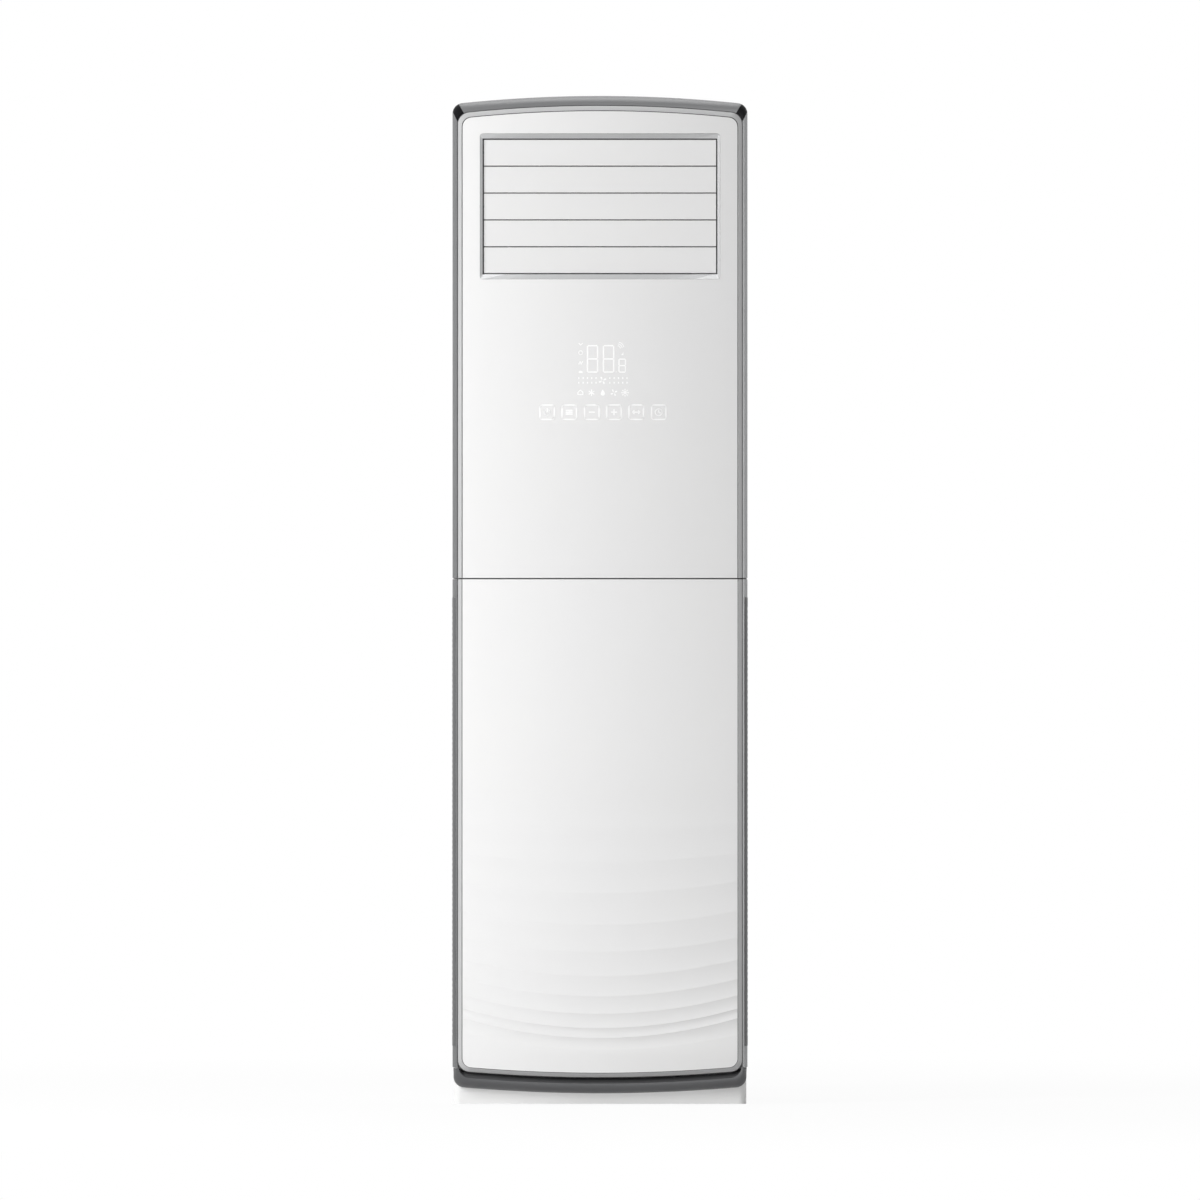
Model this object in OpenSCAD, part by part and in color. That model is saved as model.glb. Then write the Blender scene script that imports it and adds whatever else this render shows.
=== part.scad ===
// Packaged air conditioner, a floor-standing cabinet, as an assembly of separate pieces.
// Millimetres, +Z up, the front faces -Y. The origin is on the floor under the middle of the cabinet.

/* [Body] */
// Overall width across the side intake grilles
body_w = 540; // [520:5:580]
// Overall depth from the crown of the front bow to the back
body_d = 380; // [375:5:410]
// Overall height at the crown of the top arch
body_h = 1842; // [1810:2:1880]
// How far the front bows forward at its middle
front_bow = 10; // [6:1:12]
// Height of the seam between the lower door and the upper casing
seam_z = 960; // [950:1:970]

/* [Casing] */
// Radius of the arch along the top
top_arch_r = 2446; // [2200:10:3200]
// Radius of the arch along the bottom of the door
low_arch_r = 2900; // [2600:10:3600]
// Corner radius of the casing
corner_r = 20; // [17:1:22]
// Wall of the moulded casing pieces
casing_t = 2.5; // [2:0.1:2.8]
// Depth of the moulded front casing, back to the steel cabinet
casing_d = 85; // [84:1:90]
// Thickness of the steel sheet
sheet_t = 1.2; // [0.8:0.1:1.4]

/* [Outlet] */
// Width of the front beside the air outlet, on each side
outlet_side = 57; // [55:1:70]
// Clear height of the air outlet
outlet_h = 245.4; // [240:0.2:250]
// Drop from the crown of the top to the top of the outlet
outlet_drop = 80; // [78:1:90]
// Gap between one closed blade and the next
blade_gap = 1.8; // [1.2:0.1:2.4]
// Distance between neighbouring upright vanes
vane_pitch = 56; // [56:0.5:57]
// Depth of an upright vane
vane_chord = 54; // [48:1:55]

/* [Door] */
// Height of the door's hinge line
hinge_z = 70; // [69:0.5:72]
// Depth of the lowest ripple on the door
ripple_depth = 2.2; // [1:0.1:2.6]
// Spacing of the slots in the side intake grilles
slot_pitch = 10.5; // [10:0.5:14]

/* [Blower] */
// Outer radius of the blower wheel
wheel_r = 165; // [155:1:168]
// Number of blades on the blower wheel
wheel_blades = 40; // [30:1:44]
// Height of the wheel's axis
blower_z = 420; // [410:1:430]

/* [Coil] */
// Outer radius of the coil's tubes
tube_r = 4.76; // [4:0.01:5]
// Spacing of the tubes along the coil
tube_pitch = 50; // [46:0.5:50]
// Spacing of the fins
fin_pitch = 11.5; // [11:0.5:16]
// Lean of the coil from upright, in degrees
coil_tilt = 9.5; // [7:0.5:9.5]

/* [Hidden] */
$fn = 96;
eps = 0.01;
gap = 0.3;
proud = 0.5;
fit = 0.05;
c_white = [0.93, 0.93, 0.92];
c_silver = [0.74, 0.75, 0.76];
c_grey = [0.55, 0.56, 0.57];
c_dark = [0.16, 0.16, 0.17];
c_steel = [0.78, 0.79, 0.78];
c_copper = [0.78, 0.46, 0.30];
c_alu = [0.80, 0.82, 0.84];
c_green = [0.10, 0.35, 0.20];

hw = body_w / 2;
yf = -body_d / 2;
yb = body_d / 2;
c_hw = hw - proud;
s_hw = hw - 1.5;
bow_half = hw - 19;
bow_r = (bow_half * bow_half + front_bow * front_bow) / (2 * front_bow);
y_join = yf + casing_d;
y_curve = y_join - 45;
seam_gap = 2.4;
z_up = seam_z + seam_gap / 2;
z_dn = seam_z - seam_gap / 2;

// Widths of the bands round the front panels: side, top and bottom
strip_w = 9;
band_h = 18;
bezel_w = 8.5;
bezel_h = 9.8;
panel_gap = 1.2;
lip_d = 8;

// Outlet
outlet_w = body_w - 2 * outlet_side;
out_hw = outlet_w / 2;
out_z1 = body_h - outlet_drop;
out_z0 = out_z1 - outlet_h;
frame_t = 3;
recess_w = 6.3;
recess_h = 10.3;
blade_n = 5;
blade_pitch = outlet_h / blade_n;
blade_y0 = yf + 13.6;
blade_t = 4.6;
blade_y = blade_y0 + blade_t / 2;
blade_half = (blade_pitch - blade_gap) / 2;
crank_r = 12;
drive_x = out_hw + recess_w + 0.6;
louvre_end = 1.2;
vane_n = 7;
vane_y = yf + 76;
vane_throw = 14;
frame_y1 = yf + 115;

// Lower compartment and air path
deck_y = yb - 220;
part_z = seam_z - 215;
deck_hw = s_hw - sheet_t - 3.9;
scroll_y1 = deck_y + 155;
throat_r = wheel_r - 35;
wheel_y0 = deck_y + 15;
wheel_y1 = wheel_y0 + 118;
blade_w = 26;
duct_hw = hw - 20;
duct_t = 5;
duct_y0 = deck_y + duct_t;
duct_y1 = yb - 42;
duct_z0 = part_z + sheet_t + gap;
coil_hw = hw - 65;
coil_y = yb - 130;
coil_z = seam_z + 190;
coil_len = 600;
coil_t = 42;
rows_n = 2;
row_step = 22;
tubes_n = 12;
fins_n = floor((2 * coil_hw - 8) / fin_pitch);
bend_start = 4;
plate_t = 1.5;

// Door
hinge_y = yf + 21;
door_back = y_join - 1.5;
door_z0 = 68;
panel_z0 = 58.5;
bezel_z0 = 49.2;
foot_bezel_h = 8.7;
trim_z0 = 19.7;
trim_h = 18.8;
grille_z0 = 107;
grille_z1 = seam_z - 34;
grille_y0 = y_join - 3.5;
grille_lip = 3.5;
filter_x = hw - 20;
filter_t = 4;
rib_n = 10;
lug_x = hw - 68.4;

// Base
plinth_h = 58;
plinth_hw = hw - 2.5;
plinth_y0 = yf + 45;
plinth_y1 = yb - 4;
pan_hw = plinth_hw - casing_t - gap;
pan_y0 = plinth_y0 + casing_t + gap;
pan_y1 = plinth_y1 - casing_t - gap;
pan_h = 45;
pan_t = 1.8;
side_z0 = plinth_h + 0.5;
side_z1 = body_h - 42;
rear_y0 = yb - 3.2;
pipe_x = hw - 34;
pipe2_x = hw - 51;
pipe_y = yb - 52;
pipe_r = 7.94;
pipe2_r = 4.76;
exit_z = 150;
exit2_z = exit_z + 36;
hose_x = -(hw - 31);
hose_y = yb - 170;
hose_r = 9;
hose_z = 92;
anchor_x = hw - 50;
anchor_y0 = yf + 60;
anchor_y1 = yb - 50;

// Prisms between two stations along X, Y or Z, from an outline in the other two axes
module along_x(x0, x1) {
  translate([x0, 0, 0]) rotate([90, 0, 90]) linear_extrude(height = x1 - x0) children();
}
module along_y(y0, y1) {
  translate([0, y1, 0]) rotate([90, 0, 0]) linear_extrude(height = y1 - y0) children();
}
module along_z(z0, z1) {
  translate([0, 0, z0]) linear_extrude(height = z1 - z0) children();
}
module block(p, q) {
  translate(p) cube(q - p);
}
module rod_x(x0, x1, y, z, r) {
  translate([x0, y, z]) rotate([0, 90, 0]) cylinder(h = x1 - x0, r = r);
}
module rod_y(x, y0, y1, z, r) {
  translate([x, y1, z]) rotate([90, 0, 0]) cylinder(h = y1 - y0, r = r);
}
module rod_z(x, y, z0, z1, r) {
  translate([x, y, z0]) cylinder(h = z1 - z0, r = r);
}
module both_sides() {
  children();
  mirror([1, 0, 0]) children();
}
module rounded_box(x0, x1, z0, z1, r) {
  polygon(corner_points(x0, x1, z0, z1, r, 6));
}
function corner_points(x0, x1, z0, z1, r, n) = concat(
  [for (i = [0:n]) [x1 - r + r * cos(90 * i / n), z1 - r + r * sin(90 * i / n)]],
  [for (i = [0:n]) [x0 + r - r * sin(90 * i / n), z1 - r + r * cos(90 * i / n)]],
  [for (i = [0:n]) [x0 + r - r * cos(90 * i / n), z0 + r - r * sin(90 * i / n)]],
  [for (i = [0:n]) [x1 - r + r * sin(90 * i / n), z0 + r - r * cos(90 * i / n)]]);

// Front surface of the bow at a station across the width
function bow_y(x) = yf + bow_r - sqrt(bow_r * bow_r - x * x);
// Fall of an arch of radius r at a station across the width
function drop(r, x) = r - sqrt(r * r - x * x);

// Path up one side, round the corner, along the arch and down the other side, in X and Z.
// The sign is +1 for the arch along the top and -1 for the one along the bottom.
corner_n = 8;
arch_n = 22;
function u_path(half, z, rc, ra, sign, z_end) =
  let(za = z - sign * ra, up = sqrt((ra - rc) * (ra - rc) - (half - rc) * (half - rc)),
    zc = za + sign * up, phi = atan2(up, half - rc))
  concat([[-half, z_end]],
    [for (i = [0:corner_n]) let(a = 180 - phi * i / corner_n)
      [-(half - rc) + rc * cos(a), zc + sign * rc * sin(a)]],
    [for (i = [1:arch_n - 1]) let(a = 180 - phi - (180 - 2 * phi) * i / arch_n)
      [ra * cos(a), za + sign * ra * sin(a)]],
    [for (i = [0:corner_n]) let(a = phi * (1 - i / corner_n))
      [half - rc + rc * cos(a), zc + sign * rc * sin(a)]],
    [[half, z_end]]);
path_last = 2 * corner_n + arch_n + 2;
// Where the mitred caps begin and end along the path
cap_lo = 2;
cap_hi = corner_n - 1;

// One band point is [inset at the side, inset at the arch, corner radius, share of the bow, Y].
function band_rows(chain, half, z, ra, sign, z_end, i0, i1) =
  let(paths = [for (c = chain) u_path(half - c[0], z - sign * c[1], c[2], ra, sign, z_end)])
  [for (i = [i0:i1]) [for (k = [0:len(chain) - 1])
    let(p = paths[k][i], c = chain[k]) [p[0], c[3] * bow_y(p[0]) + c[4], p[1]]]];

// A shell between two grids of points with equal rows, open round its edge or closed into a ring
module thick_sheet(front, back, ring = false) {
  n = len(front);
  m = len(front[0]);
  count = n * m;
  last = ring ? n - 1 : n - 2;
  pts = concat([for (r = front) each r], [for (r = back) each r]);
  faces = concat(
    [for (i = [0:last]) for (j = [0:m - 2])
      let(a = i * m + j, b = ((i + 1) % n) * m + j) each [[a, a + 1, b + 1], [a, b + 1, b]]],
    [for (i = [0:last]) for (j = [0:m - 2])
      let(a = count + i * m + j, b = count + ((i + 1) % n) * m + j)
      each [[a, b + 1, a + 1], [a, b, b + 1]]],
    [for (i = [0:last]) for (j = [0, m - 1])
      let(a = i * m + j, b = ((i + 1) % n) * m + j, c = a + count, d = b + count)
      each (j == 0 ? [[a, b, d], [a, d, c]] : [[a, d, b], [a, c, d]])],
    ring ? [] : [for (i = [0, n - 1]) for (j = [0:m - 2])
      let(a = i * m + j, b = a + 1, c = a + count, d = b + count)
      each (i == 0 ? [[a, d, b], [a, c, d]] : [[a, b, d], [a, d, c]])]);
  polyhedron(points = pts, faces = faces);
}

// Quarter-round of the casing from its front lip to the side wall, outside and inside
round_n = 6;
function round_out(top_w) = [for (i = [0:round_n]) let(t = 90 * i / round_n)
  [strip_w * (1 - sin(t)), top_w * (1 - sin(t)), corner_r + 2 * (1 - sin(t)),
    cos(t), y_curve * (1 - cos(t)) + lip_d * cos(t)]];
function round_in(top_w) = [for (i = [0:round_n]) let(t = 90 * i / round_n)
  [strip_w - (strip_w - casing_t) * sin(t), top_w - (top_w - casing_t) * sin(t),
    corner_r + 2 - (2 + casing_t) * sin(t),
    cos(t), y_curve * (1 - cos(t)) + (lip_d + casing_t) * cos(t)]];
// The same quarter-round as a plan outline at the right side, with its side wall back to y1
function strip_plan(half, y1) = concat(
  [for (i = [0:round_n]) let(t = 90 * i / round_n, x = half - strip_w * (1 - sin(t)))
    [x, cos(t) * bow_y(x) + y_curve * (1 - cos(t)) + lip_d * cos(t)]],
  [[half, y1], [half - casing_t, y1]],
  [for (i = [round_n:-1:0]) let(t = 90 * i / round_n, x = half - strip_w + (strip_w - casing_t) * sin(t))
    [x, cos(t) * bow_y(x) + y_curve * (1 - cos(t)) + (lip_d + casing_t) * cos(t)]]);
// Sloped silver bezel between a panel and the casing, front and back. Its lip lies e deeper
// behind a rippled panel.
function bezel_front(h, b = bezel_h, e = 0) = [
  [strip_w + gap, h + gap, corner_r + 2, 1, lip_d + 0.2],
  [strip_w + bezel_w + gap, h + b, corner_r - 2, 1, 0.8],
  [strip_w + bezel_w + gap + 0.1, h + b + 0.1, corner_r - 2.1, 1, casing_t + 0.4 + e],
  [strip_w + bezel_w + 4.5, h + b + 4.5, corner_r - 5, 1, casing_t + 0.4 + e]];
function bezel_back(h, b = bezel_h, e = 0) = [
  [strip_w + gap, h + gap, corner_r + 2, 1, lip_d + 2.7],
  [strip_w + bezel_w - 1.2, h + b - 1.2, corner_r - 0.8, 1, 5.4 + e],
  [strip_w + bezel_w - 0.4, h + b - 0.4, corner_r - 1.6, 1, 5.0 + e],
  [strip_w + bezel_w + 4.5, h + b + 4.5, corner_r - 5, 1, 4.9 + e]];

// Folded steel tray that carries everything, with four anchor holes in its floor
module base_pan() color(c_steel) difference() {
  union() {
    difference() {
      along_z(0, pan_h) rounded_box(-pan_hw, pan_hw, pan_y0, pan_y1, 11);
      along_z(pan_t, pan_h + 1)
        rounded_box(-pan_hw + sheet_t, pan_hw - sheet_t, pan_y0 + sheet_t, pan_y1 - sheet_t, 9.8);
      block([-pan_hw + 12, pan_y0 - 1, 26], [pan_hw - 12, pan_y0 + 10, pan_h + 1]);
    }
    for (x = [-110, 110]) block([x - 15, anchor_y0 + 10, pan_t - eps], [x + 15, anchor_y1 - 10, pan_t + 5]);
  }
  for (x = [-anchor_x, anchor_x]) for (y = [anchor_y0, anchor_y1]) rod_z(x, y, -1, 4, 5.5);
  for (x = [-110, 110]) block([x - 13, anchor_y0 + 12, -1], [x + 13, anchor_y1 - 12, pan_t + 3.8]);
}

// Light kick ring on the floor, round at its front corners
module plinth() color(c_white) difference() {
  along_z(0, plinth_h) rounded_box(-plinth_hw, plinth_hw, plinth_y0, plinth_y1, 14);
  along_z(-1, plinth_h + 1)
    rounded_box(-plinth_hw + casing_t, plinth_hw - casing_t, plinth_y0 + casing_t, plinth_y1 - casing_t, 11);
  for (z = [7, 12]) block([-60, plinth_y0 - 1, z], [60, plinth_y0 + 0.4, z + 0.8]);
}

// Rear steel sheet with pressed beads, the pipe exit, the hose exit and the cable hole
module rear_panel() color(c_steel) difference() {
  union() {
    block([-s_hw + 1.6, rear_y0, side_z0], [s_hw - 1.6, rear_y0 + sheet_t, side_z1 + 4]);
    for (z = [330:260:side_z1 - 200]) along_y(rear_y0 + sheet_t - eps, rear_y0 + sheet_t + 1.2)
      rounded_box(-hw + 70, hw - 70, z, z + 16, 7.9);
  }
  for (z = [330:260:side_z1 - 200]) along_y(rear_y0 - 1, rear_y0 + sheet_t)
    rounded_box(-hw + 71.2, hw - 71.2, z + 1.2, z + 14.8, 6.7);
  along_y(rear_y0 - 1, yb + 1) translate([0, exit_z]) rounded_box(pipe2_x - 18, pipe_x + 18, -20, 54, 17);
  rod_y(hose_x, rear_y0 - 1, yb + 1, hose_z, hose_r + 4);
  rod_y(hw - 120, rear_y0 - 1, yb + 1, exit_z, 11);
}

// One folded steel side, with a return at the front and one behind the rear sheet
module side_sheet() {
  block([s_hw - sheet_t, y_join + gap, side_z0], [s_hw, yb - 2, side_z1]);
  block([s_hw - 13, y_join + gap, side_z0], [s_hw - sheet_t + eps, y_join + gap + sheet_t, side_z1]);
  block([s_hw - 17, rear_y0 - sheet_t - 0.2, side_z0], [s_hw - sheet_t + eps, rear_y0 - 0.2, side_z1]);
}
module side_panel_left() color(c_white) mirror([1, 0, 0]) side_sheet();
module side_panel_right() color(c_white) side_sheet();

// Arched grey top moulding behind the front casing, with its skirts and stiffening ribs
module top_cover() color(c_grey) {
  outer = u_path(c_hw, body_h, corner_r, top_arch_r, 1, side_z1 + gap);
  inner = u_path(c_hw - casing_t, body_h - casing_t, corner_r - casing_t, top_arch_r, 1, side_z1 + gap);
  back = u_path(c_hw - 1, body_h - 1, corner_r - 1, top_arch_r, 1, side_z1 + 5);
  along_y(y_join + gap, yb - 2) polygon(concat(outer, [for (i = [path_last:-1:0]) inner[i]]));
  along_y(yb - 2 - casing_t, yb - 2) polygon(back);
  for (x = [-150, 0, 150]) block([x - 1, y_join + 20, out_z1 + 42], [x + 1, yb - 4, body_h - casing_t - 6]);
  along_y(y_join + 40, y_join + 42) polygon(back);
}

// Steel channel across the cabinet behind the seam
module mid_rail() color(c_steel) difference() {
  block([-s_hw + sheet_t + gap, y_join + gap + sheet_t + gap, seam_z - 22],
    [s_hw - sheet_t - gap, y_join + 24, seam_z + 24]);
  block([-s_hw - 1, y_join + gap + 2 * sheet_t + gap, seam_z - 22 + sheet_t],
    [s_hw + 1, y_join + 25, seam_z + 24 - sheet_t]);
  for (x = [-180, 0, 180]) rod_y(x, y_join - 1, y_join + 8, seam_z + 10, 6);
}

// Sheet between the intake chamber and the blower, bent back over it as a partition
module blower_deck() color(c_steel) difference() {
  union() {
    block([-deck_hw, deck_y, pan_t + 5.3], [deck_hw, deck_y + sheet_t, part_z + sheet_t]);
    block([-deck_hw, deck_y, part_z], [deck_hw, rear_y0 - sheet_t - 1, part_z + sheet_t]);
    for (s = [-1, 1])
      block([s * (deck_hw - 9) - 9, deck_y, part_z - 20], [s * (deck_hw - 9) + 9, deck_y + 12, part_z + eps]);
  }
  rod_y(0, deck_y - 1, deck_y + 5, blower_z, throat_r + 12);
  block([mouth_x0 + 1.5, deck_y + 4, part_z - 1], [mouth_x1 - 1.5, scroll_y1 - 3, part_z + 3]);
  rod_z(pipe_x, pipe_y, part_z - 1, part_z + 3, pipe_r + 1);
  rod_z(pipe2_x, pipe_y, part_z - 1, part_z + 3, pipe2_r + 1);
  rod_z(hose_x, hose_y, part_z - 1, part_z + 3, hose_r + 0.6);
  block([-deck_hw - 1, deck_y - 1, pan_t - 1], [-deck_hw + 30, deck_y + 5, pan_t + 12]);
  block([deck_hw - 30, deck_y - 1, pan_t - 1], [deck_hw + 1, deck_y + 5, pan_t + 12]);
}

// White upper panel on the bow, with the outlet cut-out, a rim behind its edge and board pegs
module upper_panel() color(c_white) {
  half = hw - proud - strip_w - bezel_w - panel_gap;
  top = body_h - band_h - bezel_h - panel_gap - 0.1;
  outline = u_path(half, top, corner_r - 3, top_arch_r, 1, z_up);
  rim = u_path(half - 6, top - 7, corner_r - 6, top_arch_r, 1, z_up + 5);
  rim_in = u_path(half - 8, top - 9, corner_r - 8, top_arch_r, 1, z_up + 7);
  cut_x = out_hw + recess_w;
  difference() {
    intersection() {
      along_y(yf - 5, y_join) polygon(outline);
      along_z(z_up - 1, body_h) bow_band(0, casing_t);
    }
    along_y(yf - 6, y_join) rounded_box(-cut_x, cut_x, out_z0 - recess_h, out_z1 + recess_h, 5);
  }
  difference() {
    intersection() {
      along_y(yf - 5, y_join) polygon(rim);
      along_z(z_up - 1, body_h) bow_band(casing_t - 0.2, 11);
    }
    along_y(yf - 6, y_join) polygon(rim_in);
  }
  for (x = [-66, 66]) for (z = [out_z0 - 252, out_z0 - 140])
    rod_y(x, bow_y(66) + casing_t - 0.6, yf + 11.7, z, 3);
}
// Plan band between two depths behind the bowed front surface
module bow_band(d0, d1) {
  difference() {
    intersection() {
      translate([0, yf + bow_r + d0]) circle(r = bow_r, $fn = 720);
      translate([-hw, yf - 1]) square([2 * hw, 60]);
    }
    translate([0, yf + bow_r + d1]) circle(r = bow_r, $fn = 720);
  }
}

module upper_bezel() color(c_silver)
  thick_sheet(band_rows(bezel_front(band_h), c_hw, body_h, top_arch_r, 1, z_up, 0, path_last),
    band_rows(bezel_back(band_h), c_hw, body_h, top_arch_r, 1, z_up, 0, path_last));

// Grey casing round the upper front: quarter-round sides and top band on one deep wall
module upper_shell() color(c_grey) union() {
  wall_out = [[0, 0, corner_r, 0, y_curve - 2], [0, 0, corner_r, 0, y_join]];
  wall_in = [[casing_t, casing_t, corner_r - casing_t, 0, y_curve - 2],
    [casing_t, casing_t, corner_r - casing_t, 0, y_join]];
  thick_sheet(band_rows(wall_out, c_hw, body_h, top_arch_r, 1, z_up, 0, path_last),
    band_rows(wall_in, c_hw, body_h, top_arch_r, 1, z_up, 0, path_last));
  thick_sheet(band_rows(round_out(band_h), c_hw, body_h, top_arch_r, 1, z_up, cap_hi, path_last - cap_hi),
    band_rows(round_in(band_h), c_hw, body_h, top_arch_r, 1, z_up, cap_hi, path_last - cap_hi));
  for (i = [0, path_last - cap_lo])
    thick_sheet(band_rows(round_out(band_h), c_hw, body_h, top_arch_r, 1, z_up, i, i + cap_lo),
      band_rows(round_in(band_h), c_hw, body_h, top_arch_r, 1, z_up, i, i + cap_lo));
}

// Dark mitred caps over the two top corners
module corner_caps() color(c_dark) {
  out = [for (c = round_out(band_h)) [c[0], c[1], c[2], c[3], c[4] - 2.3 * (1 - c[3])]];
  inn = [for (c = round_in(band_h)) [c[0], c[1], c[2], c[3], c[4] - 2.3 * (1 - c[3])]];
  for (i = [cap_lo, path_last - cap_hi])
    thick_sheet(band_rows(out, c_hw, body_h, top_arch_r, 1, z_up, i, i + cap_hi - cap_lo),
      band_rows(inn, c_hw, body_h, top_arch_r, 1, z_up, i, i + cap_hi - cap_lo));
}

// Fixed trim under the door: a shaded slope up behind the door's foot, a lip and a quarter-round
module bottom_trim() color(c_grey) {
  half = c_hw - 1.8;
  end = door_z0 - seam_gap;
  slope = [[strip_w + 0.6, trim_h + 8.6, corner_r - 5, 0.6, 0.4 * yf + 22]];
  slope_in = [[strip_w + 0.6, trim_h + 8.6, corner_r - 5, 0.6, 0.4 * yf + 24.2]];
  wall = [[0, 0, corner_r, 0, plinth_y0 - gap]];
  wall_in = [[casing_t, casing_t, corner_r - casing_t, 0, plinth_y0 - gap]];
  out = concat(slope, round_out(trim_h), wall);
  inn = concat(slope_in, round_in(trim_h), wall_in);
  thick_sheet(band_rows(out, half, trim_z0, low_arch_r, -1, end, 0, path_last),
    band_rows(inn, half, trim_z0, low_arch_r, -1, end, 0, path_last));
}

// Fixed hinge arms at the foot of the door
module hinge_brackets() color(c_steel) both_sides() {
  difference() {
    union() {
      along_x(lug_x - 3.6, lug_x - 0.6) polygon([[hinge_y + 33, pan_t + 0.2], [hinge_y + 33, hinge_z - 8],
        [hinge_y, hinge_z - 7], [hinge_y, hinge_z + 7], [hinge_y + 40, hinge_z + 8],
        [hinge_y + 52, hinge_z - 8], [hinge_y + 52, pan_t + 0.2]]);
      rod_x(lug_x - 3.6, lug_x - 0.6, hinge_y, hinge_z, 7);
      block([lug_x - 24, hinge_y + 33, pan_t + 0.2], [lug_x - 3.5, hinge_y + 52, pan_t + 2.7]);
    }
    rod_x(lug_x - 5, lug_x + 1, hinge_y, hinge_z, 4 + fit);
    rod_z(lug_x - 15, hinge_y + 43, 0, 8, 2.6);
  }
  rod_z(lug_x - 15, hinge_y + 43, pan_t + 2.6, pan_t + 5, 4.6);
}

// Spring catches under the middle rail that hold the top of the door
module door_catches() color(c_dark) both_sides() difference() {
  block([142, y_join - 22, seam_z - 32], [158, y_join + gap + sheet_t, seam_z - 12]);
  block([148.2, y_join - 23, seam_z - 33], [151.8, y_join - 8, seam_z - 11]);
  for (s = [-1, 1]) along_z(seam_z - 33, seam_z - 11)
    polygon([[150, y_join - 18], [150 + s * 5, y_join - 23], [150, y_join - 23]]);
}

// Moulded outlet frame: bevelled recess, cheeks with the blade bearings, rails with the vane bearings
module outlet_frame() color(c_silver) {
  y_in = blade_y0 - 1;
  front_out = outlet_loop(out_hw + recess_w - gap, out_z0 - recess_h + gap, out_z1 + recess_h - gap, 4.7);
  front_in = outlet_loop(out_hw + 0.4, out_z0 - 0.4, out_z1 + 0.4, 0.6);
  deep_out = outlet_loop(out_hw + recess_w - gap, out_z0 - recess_h + gap, out_z1 + recess_h - gap, 4.7);
  deep_in = outlet_loop(out_hw + 1.6, out_z0 - 1.6, out_z1 + 1.6, 0.8);
  difference() {
    union() {
      thick_sheet(
        [for (i = [0:len(front_out) - 1]) [on_bow(front_out[i], 0.4), to_y(front_in[i], y_in)]],
        [for (i = [0:len(front_out) - 1]) [on_bow(deep_out[i], 2.6), to_y(deep_in[i], y_in + 3)]], true);
      difference() {
        along_y(y_in + 0.6, frame_y1) translate([-out_hw - frame_t, out_z0 - frame_t])
          square([outlet_w + 2 * frame_t, outlet_h + 2 * frame_t]);
        along_y(y_in - 2, frame_y1 + 1) translate([-out_hw, out_z0]) square([outlet_w, outlet_h]);
      }
      difference() {
        along_y(frame_y1 - 4.5, frame_y1 - 1.3)
          rounded_box(-out_hw - 24, out_hw + 24, out_z0 - 13, out_z1 + 14, 6);
        along_y(y_in - 2, frame_y1 + 1) translate([-out_hw - 1, out_z0 - 1])
          square([outlet_w + 2, outlet_h + 2]);
      }
      block([-drive_x + gap, blade_y + 7, blade_z(2) - 20],
        [-out_hw - frame_t + eps, blade_y + 14, blade_z(2) + 20]);
    }
    for (s = [-1, 1]) rod_x(-drive_x - 1, -out_hw - 1, blade_y + 10.5, blade_z(2) + s * 16.5, 1.2);
    for (i = [0:blade_n - 1]) rod_x(-out_hw - 5, out_hw + 5, blade_y, blade_z(i), 3 + fit);
    for (i = [0:vane_n - 1]) rod_z(vane_x(i), vane_y, out_z0 - 5, out_z1 + 5, 2.5 + fit);
    for (s = [-1, 1]) for (z = [out_z0 + 20, out_z1 - 20])
      rod_y(s * (out_hw + 15), frame_y1 - 6, frame_y1 + 1, z, 2.2);
  }
}
function outlet_loop(half, z0, z1, r) = let(c = corner_points(-half, half, z0, z1, r, 4)) concat(
  [for (i = [0:4]) c[i]], [for (i = [1:9]) [half - r - (2 * (half - r)) * i / 10, z1]],
  [for (i = [5:14]) c[i]], [for (i = [1:9]) [-half + r + (2 * (half - r)) * i / 10, z0]],
  [for (i = [15:19]) c[i]]);
function on_bow(p, d) = [p[0], bow_y(p[0]) + d, p[1]];
function to_y(p, y) = [p[0], y, p[1]];
function blade_z(i) = out_z1 - blade_pitch * (i + 0.5);
function vane_x(i) = (i - (vane_n - 1) / 2) * vane_pitch;

// Insulated air duct from over the blower, round the coil and forward to the outlet frame
module outlet_duct() color(c_dark) difference() {
  along_x(-duct_hw - duct_t, duct_hw + duct_t) polygon(duct_outline(duct_t));
  along_x(-duct_hw, duct_hw) polygon(duct_outline(0));
  block([-duct_hw, duct_y0, duct_z0 - 5], [duct_hw, duct_y1, duct_z0 + 6]);
  block([-out_hw - frame_t - gap, frame_y1 - 9, out_z0 - frame_t - gap],
    [out_hw + frame_t + gap, frame_y1 + 12, out_z1 + frame_t + gap]);
}
function duct_outline(t) = let(r = 160 + t, yc = duct_y1 - 160, zc = out_z1 + 10 - 160) concat(
  [[duct_y0 - t, duct_z0], [duct_y0 - t, out_z0 - 76 + t / 2], [frame_y1 + 4 - t, out_z0 - 5 - t / 2 + 1],
    [frame_y1 + 4 - t, out_z1 + 10 + t]],
  [for (i = [0:10]) [yc + r * sin(9 * i), zc + r * cos(9 * i)]],
  [[duct_y1 + t, duct_z0]]);

// Geared stepper motor with its two ears; the shaft end of the driven piece enters its bore
module stepper() {
  difference() {
    union() {
      translate([0, 9, 0]) cylinder(h = 19, r = 12);
      translate([-20, 7, 0]) cube([40, 7, 0.9]);
      cylinder(h = 1.4, r = 5);
      translate([-7.3, 9, 1]) cube([14.6, 16, 16]);
    }
    for (x = [-16.5, 16.5]) translate([x, 10.5, -1]) cylinder(h = 3, r = 1.7);
    translate([0, 0, -1]) cylinder(h = 8, r = 3 + fit);
  }
}
module louvre_motor() color(c_silver)
  translate([-drive_x, blade_y, blade_z(2)]) rotate([0, -90, 0]) stepper();
module vane_motor() color(c_silver)
  translate([vane_x(3), vane_y, out_z1 + frame_t + gap]) stepper();

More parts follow.
